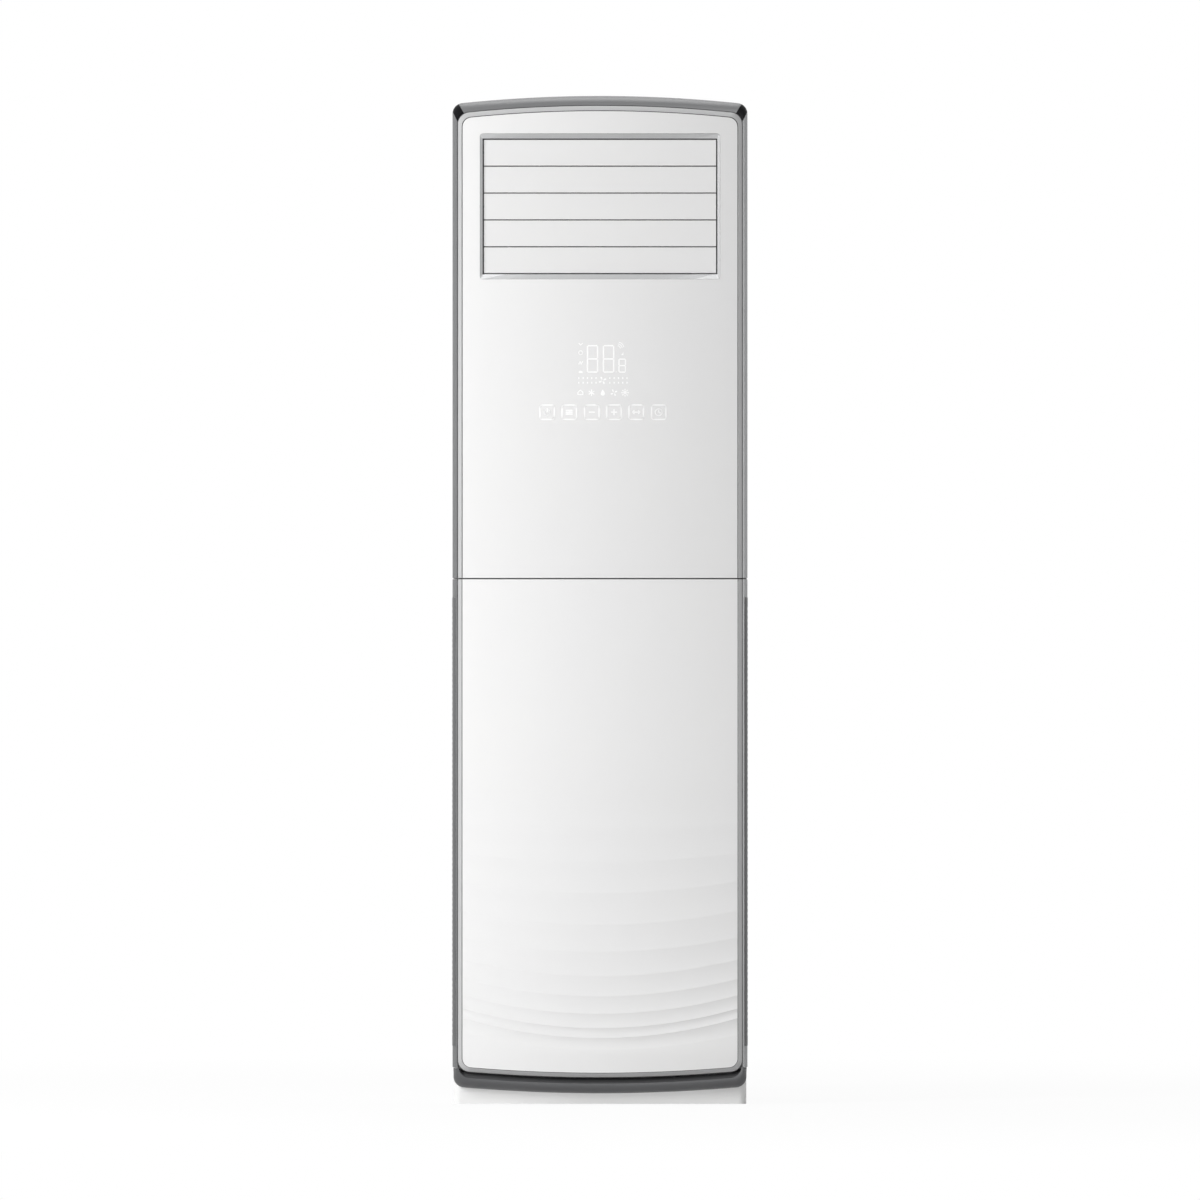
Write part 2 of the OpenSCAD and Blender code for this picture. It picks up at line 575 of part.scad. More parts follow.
// Display board behind the touch keys, with its shroud for the digits and its connector
module display_board() color(c_green) {
  y0 = yf + 12;
  z0 = out_z0 - 262;
  difference() {
    block([-74, y0, z0], [74, y0 + 1.6, z0 + 132]);
    for (x = [-66, 66]) for (z = [out_z0 - 252, out_z0 - 140]) rod_y(x, y0 - 1, y0 + 3, z, 1.6);
  }
  block([-30, y0 - 7, z0 + 60], [38, y0 + eps, z0 + 118]);
  block([-30, y0 + 1.5, z0 + 50], [6, y0 + 9, z0 + 58]);
  for (i = [0:5]) rod_y(-52.9 + i * 20.3 + 4.8, y0 - 5, y0 + eps, z0 + 12, 5);
  for (i = [0:2]) block([-20 + i * 22, y0 + 1.5, z0 + 20], [-8 + i * 22, y0 + 4, z0 + 34]);
}

// Scroll housing round the wheel, opening upward through the partition
mouth_x0 = -(wheel_r + 58);
mouth_x1 = -65;
tongue_a = 115;
scroll_n = 58;
scroll_r0 = wheel_r + 10;
scroll_r1 = -mouth_x0;
function scroll_line(t) = concat(
  [for (i = [0:scroll_n]) let(a = tongue_a - (tongue_a + 180) * i / scroll_n,
    r = scroll_r0 + (scroll_r1 - scroll_r0) * i / scroll_n + t)
    [r * cos(a), blower_z + r * sin(a)]],
  [[mouth_x0 - t, part_z - gap], [mouth_x1 + t, part_z - gap],
    [mouth_x1 + t, blower_z + (scroll_r0 + 6) * sin(tongue_a) + 14]]);
module blower_housing() color(c_steel) difference() {
  union() {
    difference() {
      along_y(deck_y + sheet_t + gap, scroll_y1) polygon(scroll_line(sheet_t));
      along_y(deck_y, scroll_y1 - sheet_t) polygon(scroll_line(0));
      block([mouth_x0, deck_y, part_z - 20], [mouth_x1, scroll_y1 - sheet_t, part_z + 1]);
    }
    for (a = [20, -40, -100, -150]) let(r = scroll_r0 + (scroll_r1 - scroll_r0) * (tongue_a - a) / 295)
      translate([r * cos(a), 0, blower_z + r * sin(a)]) rotate([0, -a, 0])
        block([sheet_t - 0.5, deck_y + sheet_t + gap + 0.2, -8], [14, deck_y + 2 * sheet_t + gap + 0.2, 8]);
  }
  rod_y(0, scroll_y1 - 5, scroll_y1 + 1, blower_z, 92);
}

// Bellmouth that leads the air into the wheel
module inlet_ring() color(c_dark)
  translate([0, deck_y, blower_z]) rotate([-90, 0, 0]) rotate_extrude($fn = 96) polygon(concat(
    [[throat_r + 26, -2.7], [throat_r + 26, -gap], [throat_r + 11.6, -gap]],
    [for (i = [0:6]) [throat_r + 2.4 + 7.6 * (1 - sin(15 * i)), 18 * sin(15 * i)]],
    [[throat_r, 18]],
    [for (i = [6:-1:0]) [throat_r + 10 * (1 - sin(15 * i)), 18 * sin(15 * i) - 2.7]]));

// Motor behind the wheel: ribbed can, front flange and shaft
motor_r = 50;
shaft_r = 6;
module blower_motor() color(c_steel) {
  y0 = wheel_y0 + 76;
  difference() {
    rod_y(0, y0, y0 + 92, blower_z, motor_r);
    for (a = [0:15:345]) translate([0, 0, blower_z]) rotate([0, a, 0])
      block([motor_r - 2.5, y0 + 14, -2.2], [motor_r + 2, y0 + 74, 2.2]);
  }
  rod_y(0, y0 - 5, y0 + eps, blower_z, 22);
  rod_y(0, y0 - 47, y0 - 4, blower_z, shaft_r);
  rod_y(0, y0 + 92 - eps, y0 + 97, blower_z, 16);
  for (a = [0:120:240]) translate([0, 0, blower_z]) rotate([0, a, 0])
    block([motor_r - 4, y0 + 50, -9], [motor_r + 8, y0 + 53, 9]);
}

// Three-armed bracket that ties the motor's ears to the back of the scroll
module motor_bracket() color(c_steel) difference() {
  y0 = scroll_y1 + gap;
  y1 = wheel_y0 + 76 + 49.7;
  union() {
    difference() {
      rod_y(0, y0, y0 + 1.6, blower_z, 112);
      rod_y(0, y0 - 1, y0 + 3, blower_z, 86);
    }
    for (a = [0:120:240]) translate([0, 0, blower_z]) rotate([0, a, 0]) {
      block([motor_r + 1, y1 - 1.6, -8], [90.6, y1, 8]);
      block([89, min(y0, y1 - 1.6), -8], [90.6, max(y0 + 1.6, y1), 8]);
      block([89, y0, -8], [100, y0 + 1.6, 8]);
    }
  }
  for (a = [60:120:300]) translate([0, 0, blower_z]) rotate([0, a, 0]) rod_y(100, y0 - 2, y0 + 4, 0, 3);
}

// Forward-curved centrifugal wheel: front ring, blades, coned back plate and hub
module blower_wheel() color(c_dark) translate([0, 0, blower_z]) {
  rotate([-90, 0, 0]) rotate_extrude($fn = 96) polygon([
    [wheel_r - blade_w, wheel_y0], [wheel_r, wheel_y0], [wheel_r, wheel_y0 + 8],
    [wheel_r - 1.6, wheel_y0 + 8],
    [wheel_r - 1.6, wheel_y0 + 2.4], [wheel_r - blade_w, wheel_y0 + 2.4]]);
  rotate([-90, 0, 0]) rotate_extrude($fn = 96) polygon([
    [shaft_r + fit, wheel_y0 + 38], [20, wheel_y0 + 38], [20, wheel_y0 + 54], [70, wheel_y0 + 60],
    [86, wheel_y1 - 2.4], [wheel_r, wheel_y1 - 2.4], [wheel_r, wheel_y1], [84, wheel_y1],
    [68.4, wheel_y0 + 62.4], [20, wheel_y0 + 56.6], [20, wheel_y0 + 60], [shaft_r + fit, wheel_y0 + 60]]);
  for (i = [0:wheel_blades - 1]) rotate([0, i * 360 / wheel_blades, 0])
    along_y(wheel_y0 + 1, wheel_y1 - 1) polygon(wheel_blade);
}
wheel_blade = let(r0 = wheel_r - blade_w, r1 = wheel_r - 1.6, s = 11) concat(
  [for (i = [0:5]) let(u = i / 5) [r0 + (r1 - r0) * u, s * u * u - 0.8]],
  [for (i = [5:-1:0]) let(u = i / 5) [r0 + (r1 - r0) * u - 0.2, s * u * u + 0.8]]);

// The coil leans back about its middle: along is up the coil, across is through its rows
module lean() {
  translate([0, coil_y, coil_z]) rotate([-coil_tilt, 0, 0]) children();
}
function tube_s(i) = (i - (tubes_n - 1) / 2) * tube_pitch;
function row_y(k) = (k - 0.5) * row_step;
module coil_fins() color(c_alu) lean() for (i = [0:fins_n - 1])
  translate([(i - (fins_n - 1) / 2) * fin_pitch, 0, 0]) along_x(-0.35, 0.35) difference() {
    translate([-coil_t / 2, -coil_len / 2]) square([coil_t, coil_len]);
    for (j = [0:tubes_n - 1]) for (k = [0:rows_n - 1])
      translate([row_y(k), tube_s(j)]) circle(r = tube_r, $fn = 32);
  }
// One circuit: tubes through both rows, joined by return bends at each end
module coil_tubes() color(c_copper) lean() {
  reach = coil_hw + bend_start;
  for (j = [0:tubes_n - 1]) for (k = [0:rows_n - 1])
    rod_x(-reach, reach, row_y(k), tube_s(j), tube_r);
  for (j = [0:tubes_n - 1]) translate([-reach, 0, tube_s(j)]) rotate([0, 0, 90])
    rotate_extrude(angle = 180, $fn = 48) translate([row_step / 2, 0]) circle(r = tube_r);
  for (j = [0:2:tubes_n - 2]) translate([reach, row_y(0), tube_s(j) + tube_pitch / 2])
    rotate([90, 0, 0]) rotate([0, 0, -90]) rotate_extrude(angle = 180, $fn = 48)
      translate([tube_pitch / 2, 0]) circle(r = tube_r);
  for (j = [1:2:tubes_n - 3]) translate([reach, row_y(1), tube_s(j) + tube_pitch / 2])
    rotate([90, 0, 0]) rotate([0, 0, -90]) rotate_extrude(angle = 180, $fn = 48)
      translate([tube_pitch / 2, 0]) circle(r = tube_r);
}
// Flanged plates that carry the coil between the duct's sides
module coil_end_plates() color(c_steel) lean() both_sides() difference() {
  union() {
    block([coil_hw, -coil_t / 2, -coil_len / 2], [coil_hw + plate_t, coil_t / 2, coil_len / 2]);
    for (z = [-coil_len / 2, coil_len / 2 - 24])
      block([coil_hw, -coil_t / 2, z], [duct_hw - gap, -coil_t / 2 + plate_t, z + 24]);
  }
  for (j = [0:tubes_n - 1]) for (k = [0:rows_n - 1])
    rod_x(coil_hw - 1, coil_hw + 3, row_y(k), tube_s(j), tube_r + fit);
}

// Where the first and the last tube end, in the cabinet's own axes
function leaned(y, s) = [coil_y + y * cos(coil_tilt) + s * sin(coil_tilt),
  coil_z - y * sin(coil_tilt) + s * cos(coil_tilt)];
// Suction and liquid lines: from the coil, down behind the blower and out at the back
module refrigerant_pipes() color(c_copper) {
  top = leaned(row_y(1), tube_s(tubes_n - 1));
  low = leaned(row_y(1), tube_s(0));
  x0 = coil_hw + bend_start;
  rod_x(x0 + gap, x0 + 10, top[0], top[1], tube_r);
  drop_line(x0 + 9, pipe_x, top, pipe_r, exit_z, 10.4);
  drop_line(x0 + gap, pipe2_x, low, pipe2_r, exit2_z, 9);
}
// One line as straight tubes and quarter bends, with a brazed collar over every joint
module drop_line(x0, x, start, r, z_end, bend) {
  collar = r + 0.4;
  rod_x(x0, x - bend, start[0], start[1], r);
  rod_x(x - bend - 0.5, x - bend + 1, start[0], start[1], collar);
  translate([x - bend, start[0] + bend, start[1]]) rotate([0, 0, -90])
    rotate_extrude(angle = 90, $fn = 48) translate([bend, 0]) circle(r = r);
  rod_y(x, start[0] + bend - 1, start[0] + bend + 1, start[1], collar);
  rod_y(x, start[0] + bend, pipe_y - bend, start[1], r);
  rod_y(x, pipe_y - bend - 1, pipe_y - bend + 1, start[1], collar);
  translate([x, pipe_y - bend, start[1] - bend]) rotate([90, 0, 90])
    rotate_extrude(angle = 90, $fn = 48) translate([bend, 0]) circle(r = r);
  rod_z(x, pipe_y, start[1] - bend - 1, start[1] - bend + 1, collar);
  rod_z(x, pipe_y, z_end + 20, start[1] - bend, r);
  rod_z(x, pipe_y, z_end + 19, z_end + 21, collar);
  translate([x, pipe_y + 20, z_end + 20]) rotate([90, 180, 90])
    rotate_extrude(angle = 90, $fn = 48) translate([20, 0]) circle(r = r);
  rod_y(x, pipe_y + 19, pipe_y + 21, z_end, collar);
  rod_y(x, pipe_y + 20, yb - 2.4, z_end, r);
}
// Hexagonal flare nuts on both line ends
module flare_nuts() color([0.80, 0.66, 0.30]) {
  nut(pipe_x, pipe_r, 14.5, exit_z);
  nut(pipe2_x, pipe2_r, 10, exit2_z);
}
module nut(x, r, af, z) {
  difference() {
    union() {
      translate([x, yb - 6, z]) rotate([90, 0, 0]) cylinder(h = 15, r = af, $fn = 6);
      rod_y(x, yb - 26, yb - 20.9, z, r + 2.2);
    }
    rod_y(x, yb - 30, yb, z, r + 0.02);
  }
}

// Sloped pan under the foot of the coil, with its spigot at the left
pan_low = leaned(0, -coil_len / 2)[1] - 60;
module drain_pan() color(c_dark) {
  low = leaned(0, -coil_len / 2);
  y0 = duct_y0 + gap;
  y1 = low[0] + 44;
  z1 = low[1] - 8;
  z0 = pan_low;
  difference() {
    along_x(-coil_hw - 20, coil_hw + 14) polygon([[y0, z1], [y0, z0 + 10], [y0 + 20, z0],
      [y1 - 20, z0], [y1, z0 + 22], [y1, z1]]);
    along_x(-coil_hw - 17.5, coil_hw + 11.5) polygon([[y0 + 2.5, z1 + 1], [y0 + 2.5, z0 + 11],
      [y0 + 21, z0 + 2.5], [y1 - 21, z0 + 2.5], [y1 - 2.5, z0 + 23], [y1 - 2.5, z1 + 1]]);
    rod_x(-coil_hw - 30, -coil_hw - 10, hose_y, z0 + 13, 5.5);
  }
  difference() {
    rod_x(-coil_hw - 26, -coil_hw - 18, hose_y, z0 + 13, 7.5);
    rod_x(-coil_hw - 30, -coil_hw - 10, hose_y, z0 + 13, 5.5);
  }
}
// Drain hose from the pan's spigot down the left side and out at the back
module drain_hose() color(c_dark) {
  z0 = pan_low;
  bend = 20;
  difference() {
    union() {
      translate([hose_x, hose_y, z0 + 13]) sphere(r = hose_r + 1.2);
      rod_x(hose_x, -coil_hw - 20.2, hose_y, z0 + 13, hose_r);
      rod_z(hose_x, hose_y, hose_z + bend, z0 + 13, hose_r);
      translate([hose_x, hose_y + bend, hose_z + bend]) rotate([90, 180, 90])
        rotate_extrude(angle = 90, $fn = 48) translate([bend, 0]) circle(r = hose_r);
      rod_y(hose_x, hose_y + bend, yb - 2, hose_z, hose_r);
    }
    rod_x(-coil_hw - 26.3, -coil_hw - 10, hose_y, z0 + 13, 7.5 + fit);
    rod_y(hose_x, yb - 40, yb, hose_z, 6.5);
  }
}

// Electric box on the duct's front, its lid, its board and the terminal block under it
box_y0 = deck_y - 65;
box_z0 = part_z + 15;
box_z1 = seam_z - 32;
module electric_box() color(c_steel) difference() {
  block([-150, box_y0, box_z0], [150, deck_y - gap, box_z1]);
  block([-148.8, box_y0 - 1, box_z0 + sheet_t], [148.8, deck_y - gap - sheet_t, box_z1 - sheet_t]);
  for (x = [-110, -90, 110]) rod_z(x, box_y0 + 30, box_z0 - 1, box_z0 + 3, 8);
  for (x = [60:12:132]) block([x, box_y0 + 12, box_z1 - 3], [x + 4, box_y0 + 50, box_z1 + 1]);
}
module electric_cover() color(c_steel) difference() {
  block([-152, box_y0 - 1.6, box_z0 - 2], [152, box_y0 - gap, box_z1 + 2]);
  for (x = [-140, 140]) for (z = [box_z0 + 12, box_z1 - 12]) rod_y(x, box_y0 - 3, box_y0 + 1, z, 2.2);
  for (z = [box_z0 + 30:10:box_z0 + 70])
    along_y(box_y0 - 3, box_y0 + 1) rounded_box(60, 130, z, z + 4, 1.9);
}
module control_board() color(c_green) {
  y1 = deck_y - gap - sheet_t - 10;
  block([-138, y1 - 1.6, box_z0 + 14], [118, y1, box_z1 - 14]);
  for (x = [-132, 112]) for (z = [box_z0 + 20, box_z1 - 20]) rod_y(x, y1 - eps, y1 + 9.7, z, 3);
  for (i = [0:3]) rod_y(-110 + i * 24, y1 - 26, y1 - 1.5, box_z0 + 110, 8);
  for (i = [0:4]) block([-20 + i * 24, y1 - 18, box_z0 + 90], [-4 + i * 24, y1 - 1.5, box_z0 + 112]);
  block([-120, y1 - 30, box_z0 + 30], [-70, y1 - 1.5, box_z0 + 72]);
  for (i = [0:11]) block([-50 + i * 6, y1 - 22, box_z0 + 30], [-47 + i * 6, y1 - 1.5, box_z0 + 70]);
  block([40, y1 - 4, box_z0 + 36], [62, y1 - 1.5, box_z0 + 58]);
}
module terminal_block() color(c_dark) {
  x0 = hw - 150;
  y1 = deck_y - gap;
  difference() {
    block([x0, y1 - 22, part_z - 60], [x0 + 100, y1, part_z - 30]);
    for (i = [0:5])
      block([x0 + 6 + i * 16, y1 - 23, part_z - 56], [x0 + 16 + i * 16, y1 - 10, part_z - 34]);
  }
  for (i = [0:5]) rod_y(x0 + 11 + i * 16, y1 - 14, y1 - 9.9, part_z - 45, 3.4);
}
// Cable gland in the rear sheet
module cable_gland() color(c_dark) translate([hw - 120, 0, exit_z]) rotate([90, 0, 0]) {
  difference() {
    union() {
      translate([0, 0, -yb]) cylinder(h = 1.8, r = 15);
      translate([0, 0, -yb + 1]) cylinder(h = 14, r = 10.8);
      translate([0, 0, -yb + 3.6]) cylinder(h = 5, r = 15, $fn = 6);
    }
    translate([0, 0, -yb - 1]) cylinder(h = 20, r = 6);
  }
}

// Pan-head screws round the rear sheet and through the outlet frame's flange
module cabinet_screws() color(c_steel) {
  for (s = [-1, 1]) for (z = [120:280:side_z1 - 40]) pan_screw(s * (hw - 10), rear_y0 + sheet_t + 0.05, z);
  for (x = [-160, 0, 160]) pan_screw(x, rear_y0 + sheet_t + 0.05, side_z1 - 12);
  for (s = [-1, 1]) for (z = [out_z0 + 20, out_z1 - 20]) difference() {
    rod_y(s * (out_hw + 15), frame_y1 - 7, frame_y1 - 4.6, z, 4);
    block([s * (out_hw + 15) - 3, frame_y1 - 8, z - 0.5], [s * (out_hw + 15) + 3, frame_y1 - 6, z + 0.5]);
  }
}
module pan_screw(x, y, z) {
  difference() {
    rod_y(x, y, y + 1.8, z, 4.2);
    block([x - 2.6, y + 0.9, z - 0.45], [x + 2.6, y + 3, z + 0.45]);
    block([x - 0.45, y + 0.9, z - 2.6], [x + 0.45, y + 3, z + 2.6]);
  }
}
// Plate at the top of the back for fixing the cabinet to the wall
module wall_plate() color(c_steel) difference() {
  along_y(rear_y0 + sheet_t + 0.1, yb) rounded_box(-55, 55, side_z1 - 90, side_z1 - 40, 6);
  for (x = [-35, 35]) rod_y(x, rear_y0, yb + 1, side_z1 - 65, 3.5);
}

// White rippled door panel: it is hollowed between each two lines and comes to a soft edge on each line
door_half = hw - proud - strip_w - bezel_w - 0.9;
door_r = 16.5;
ripple_z = [564.6, 502.6, 443, 385.9, 328.3, 278.8, 234.5, 198, 166.1, 140.1, 122];
ripple_sag = [6, 11, 15.8, 21.9, 25.6, 26.5, 30, 31.5, 33.5, 35.5, 36];
door_corner_z = panel_z0 + drop(low_arch_r, door_half - door_r) + door_r;
function step_depth(i) = ripple_depth * (0.12 + 0.88 * pow(i / 10, 1.3));
// Each row is [height at the middle, rise at the edge, how far it stands back]
door_rows = concat(
  [[z_dn, 0, 0], [820, 0, 0], [700, 0, 0], [620, 3, 0]],
  [for (i = [0:10]) let(next = i < 10 ? ripple_z[i + 1] : 100, far = i < 10 ? ripple_sag[i + 1] : 27,
      h = ripple_z[i] - next, d = step_depth(i))
    each [[ripple_z[i], ripple_sag[i], 0], [ripple_z[i] - 0.2 * h, ripple_sag[i] * 0.8 + far * 0.2, d * 0.64],
      [ripple_z[i] - 0.5 * h, (ripple_sag[i] + far) / 2, d],
      [ripple_z[i] - 0.8 * h, ripple_sag[i] * 0.2 + far * 0.8, d * 0.64]]],
  [[100, 27, 0]],
  [for (a = [12:13:90])
    let(e = door_corner_z - door_r * sin(a), m = 86 - (86 - panel_z0) * sin(a)) [m, e - m, 0]],
  [[panel_z0, door_corner_z - door_r - panel_z0, 0]]);
columns = 26;
function row_half(e) = e > door_corner_z ? door_half :
  door_half - door_r + sqrt(max(0, door_r * door_r - pow(door_corner_z - e, 2)));
function door_grid(d) = [for (r = door_rows)
  let(half = row_half(r[0] + r[1]))
  [for (j = [0:columns]) let(t = 2 * j / columns - 1, x = half * t)
    [x, bow_y(x) + r[2] + d, r[0] + r[1] * t * t]]];
module lower_panel() color(c_white) thick_sheet(door_grid(0), door_grid(casing_t));

module lower_bezel() color(c_silver) {
  h = bezel_z0 - trim_z0 - gap;
  deeper = ripple_depth + 0.1;
  thick_sheet(
    band_rows(bezel_front(h, foot_bezel_h, deeper), c_hw, trim_z0, low_arch_r, -1, z_dn, 0, path_last),
    band_rows(bezel_back(h, foot_bezel_h, deeper), c_hw, trim_z0, low_arch_r, -1, z_dn, 0, path_last));
}

// Door frame: side walls with the grille windows, rails, filter guides, hinge lugs and striker tabs
module door_frame() color(c_grey) {
  rail_y = hinge_y - 3;
  both_sides() difference() {
    along_z(door_z0, z_dn) polygon(strip_plan(c_hw, door_back));
    block([c_hw - strip_w + grille_lip, yf, grille_z0], [hw + 1, grille_y0 - 2.5, grille_z1]);
    along_x(c_hw - 12, hw + 1) polygon([[y_curve, z_dn + 1], [y_curve, z_dn],
      [door_back + 1, z_dn - 1.8], [door_back + 1, z_dn + 1]]);
  }
  rail_hw = hw - 20;
  rails = [[hinge_z + 14, hinge_z + 30], [seam_z - 26, seam_z - 12]];
  for (z = rails) difference() {
    block([-rail_hw, rail_y, z[0]], [rail_hw, rail_y + 15, z[1]]);
    block([-rail_hw + 2, rail_y + 2, z[0] + 2], [rail_hw - 2, rail_y + 16, z[1] - 2]);
  }
  both_sides() {
    for (z = rails) block([rail_hw - 1, rail_y + 12, z[0]], [c_hw - casing_t - 0.5, rail_y + 22, z[1]]);
    difference() {
      union() {
        along_x(lug_x, lug_x + 4) polygon([[hinge_y - 3, hinge_z], [hinge_y - 3, hinge_z + 16],
          [hinge_y + 9, hinge_z + 16], [hinge_y + 7, hinge_z]]);
        rod_x(lug_x, lug_x + 4, hinge_y, hinge_z, 7.5);
      }
    }
    rod_x(lug_x - 6, lug_x + 4, hinge_y, hinge_z, 4);
    block([148.5, rail_y + 1, seam_z - 25], [151.5, y_join - 10, seam_z - 15]);
    difference() {
      for (z = [grille_z0 - 6, grille_z1 + 1]) {
        block([filter_x - filter_t / 2 - 1.6, y_curve, z], [c_hw - casing_t + 0.5, door_back - 2, z + 5]);
        block([filter_x - filter_t / 2 - 1.6, y_curve - 12, z],
          [filter_x + filter_t / 2 + 6, y_curve + eps, z + 5]);
      }
      block([filter_x - filter_t / 2 - gap, hinge_y + 12.2, grille_z0 - 4],
        [filter_x + filter_t / 2 + gap, door_back, grille_z1 + 4]);
    }
  }
}

// Dark side intake grille that follows the quarter-round, with level slots
module side_grille() difference() {
  half = hw;
  plan = concat(
    [for (i = [0:8]) let(t = 24 + 66 * i / 8, x = half - (strip_w + proud) * (1 - sin(t)))
      [x, cos(t) * bow_y(x) + y_curve * (1 - cos(t)) + (lip_d - 0.4) * cos(t)]],
    [[half, grille_y0 - 3], [half - 2.2, grille_y0 - 3]],
    [for (i = [8:-1:0])
      let(t = 24 + 66 * i / 8, x = half - (strip_w + proud) + (strip_w + proud - 2.2) * sin(t))
      [x, cos(t) * bow_y(x) + y_curve * (1 - cos(t)) + (lip_d + 1.8) * cos(t)]]);
  slots = floor((grille_z1 - grille_z0 - 22) / slot_pitch);
  z0 = (grille_z0 + grille_z1) / 2 - (slots - 1) * slot_pitch / 2;
  along_z(grille_z0 + gap, grille_z1 - gap) polygon(plan);
  block([0, yf - 1, grille_z0 - 1], [c_hw - strip_w + grille_lip + gap, y_join, grille_z1 + 1]);
  for (i = [0:slots - 1])
    block([hw - 12, y_curve - 8, z0 + i * slot_pitch - 2.6],
      [hw + 2, grille_y0 - 9, z0 + i * slot_pitch + 2.6]);
}
module intake_grille_left() color(c_dark) mirror([1, 0, 0]) side_grille();
module intake_grille_right() color(c_dark) side_grille();

// Slide-out air filter: frame, ribs, pull tab and a thin web for the mesh
module filter_panel() {
  y0 = hinge_y + 12.5;
  y1 = door_back - 4;
  z0 = grille_z0 - 3.7;
  z1 = grille_z1 + 3.7;
  x0 = filter_x - filter_t / 2;
  difference() {
    block([x0, y0, z0], [x0 + filter_t, y1, z1]);
    block([x0 - 1, y0 + 5, z0 + 7], [x0 + filter_t + 1, y1 - 5, z1 - 7]);
  }
  step = (z1 - z0 - 14) / rib_n;
  for (i = [1:rib_n - 1])
    block([x0 + 0.8, y0 + 4, z0 + 7 + i * step - 1], [x0 + filter_t - 0.8, y1 - 4, z0 + 7 + i * step + 1]);
  block([x0 + 1.8, y0 + 4, z0 + 6], [x0 + 2.2, y1 - 4, z1 - 6]);
  block([x0 - 5, y1 - 2, (z0 + z1) / 2 - 20], [x0 + eps, y1, (z0 + z1) / 2 + 20]);
}
module filter_left() color(c_white) mirror([1, 0, 0]) filter_panel();
module filter_right() color(c_white) filter_panel();

// Outlet blade with its journals, crank and crank pin; all five are alike but for the driven one
module louvre(i) translate([0, blade_y, blade_z(i)]) {
  h = blade_half;
  end = out_hw - louvre_end;
  x1 = drive_x;
  tail = i == 2 ? drive_x - out_hw - frame_t + 6.5 : 0.5;
  along_x(-end, end) polygon([[-blade_t / 2 + 0.7, -h], [-blade_t / 2, -h + 0.8], [-blade_t / 2, h - 0.8],
    [-blade_t / 2 + 0.7, h], [-0.4, h - 0.4], [blade_t / 2 - 1, h * 0.6], [blade_t / 2, h * 0.2],
    [blade_t / 2, -h * 0.2], [blade_t / 2 - 1, -h * 0.6], [-0.4, -h + 0.4]]);
  rod_x(-out_hw - frame_t - tail, -end + 0.5, 0, 0, 3);
  rod_x(end - 0.5, x1 + 3, 0, 0, 3);
  rod_x(x1, x1 + 3, 0, 0, 4.4);
  rod_x(x1, x1 + 3, crank_r, 0, 4);
  block([x1, 0, -3], [x1 + 3, crank_r, 3]);
  rod_x(x1, x1 + 7, crank_r, 0, 2);
}
module louvre_1() color(c_white) louvre(0);
module louvre_2() color(c_white) louvre(1);
module louvre_3() color(c_white) louvre(2);
module louvre_4() color(c_white) louvre(3);
module louvre_5() color(c_white) louvre(4);
// Bar that couples the five cranks
module louvre_link() color(c_dark) {
  x0 = drive_x + 3 + 0.4;
  y = blade_y + crank_r;
  difference() {
    union() {
      block([x0, y - 4.5, blade_z(blade_n - 1)], [x0 + 2.6, y + 4.5, blade_z(0)]);
      for (i = [0, blade_n - 1]) rod_x(x0, x0 + 2.6, y, blade_z(i), 4.5);
    }
    for (i = [0:blade_n - 1]) rod_x(x0 - 1, x0 + 4, y, blade_z(i), 2 + fit);
  }
}

// Upright vane with its journals, crank and pin
module vane(i) translate([vane_x(i), vane_y, 0]) {
  z0 = out_z0 + 1.2;
  z1 = out_z1 - 1.2;
  zc = out_z0 - frame_t - 0.5;
  top = i == 3 ? 6 : 0.4;
  c = vane_chord / 2;
  along_z(z0, z1) polygon([[0, -c], [0.8, -c + 3], [1.1, 0], [0.7, c - 2], [0, c], [-0.7, c - 2],
    [-1.1, 0], [-0.8, -c + 3]]);
  rod_z(0, 0, z0, z1, 2.9);
  rod_z(0, 0, zc - 3, z0 + 4, 2.5);
  rod_z(0, 0, z1 - 4, out_z1 + frame_t + top, 2.5);
  rod_z(0, 0, zc - 3, zc, 4.5);
  rod_z(0, vane_throw, zc - 3, zc, 4);
  block([-3, 0, zc - 3], [3, vane_throw, zc]);
  rod_z(0, vane_throw, zc - 7.5, zc, 2);
}
module vane_1() color(c_dark) vane(0);
module vane_2() color(c_dark) vane(1);
module vane_3() color(c_dark) vane(2);
module vane_4() color(c_dark) vane(3);
module vane_5() color(c_dark) vane(4);
module vane_6() color(c_dark) vane(5);
module vane_7() color(c_dark) vane(6);
module vane_link() color(c_dark) {
  z1 = out_z0 - frame_t - 0.5 - 3 - 0.4;
  y = vane_y + vane_throw;
  difference() {
    union() {
      block([vane_x(0), y - 4.5, z1 - 2.6], [vane_x(vane_n - 1), y + 4.5, z1]);
      for (i = [0, vane_n - 1]) rod_z(vane_x(i), y, z1 - 2.6, z1, 4.5);
    }
    for (i = [0:vane_n - 1]) rod_z(vane_x(i), y, z1 - 4, z1 + 1, 2 + fit);
  }
}

base_pan();
plinth();
rear_panel();
side_panel_left();
side_panel_right();
top_cover();
mid_rail();
blower_deck();
upper_panel();
upper_bezel();
upper_shell();
corner_caps();
bottom_trim();
hinge_brackets();
door_catches();
outlet_frame();
outlet_duct();
louvre_motor();
vane_motor();
display_board();
blower_housing();
inlet_ring();
blower_motor();
motor_bracket();
coil_fins();
coil_tubes();
coil_end_plates();
refrigerant_pipes();
flare_nuts();
drain_pan();
drain_hose();
electric_box();
electric_cover();
control_board();
terminal_block();
cable_gland();
cabinet_screws();
wall_plate();
lower_panel();
lower_bezel();
door_frame();
intake_grille_left();
intake_grille_right();
filter_left();
filter_right();
blower_wheel();
louvre_1();
louvre_2();
louvre_3();
louvre_4();
louvre_5();
louvre_link();
vane_1();
vane_2();
vane_3();
vane_4();
vane_5();
vane_6();
vane_7();
vane_link();
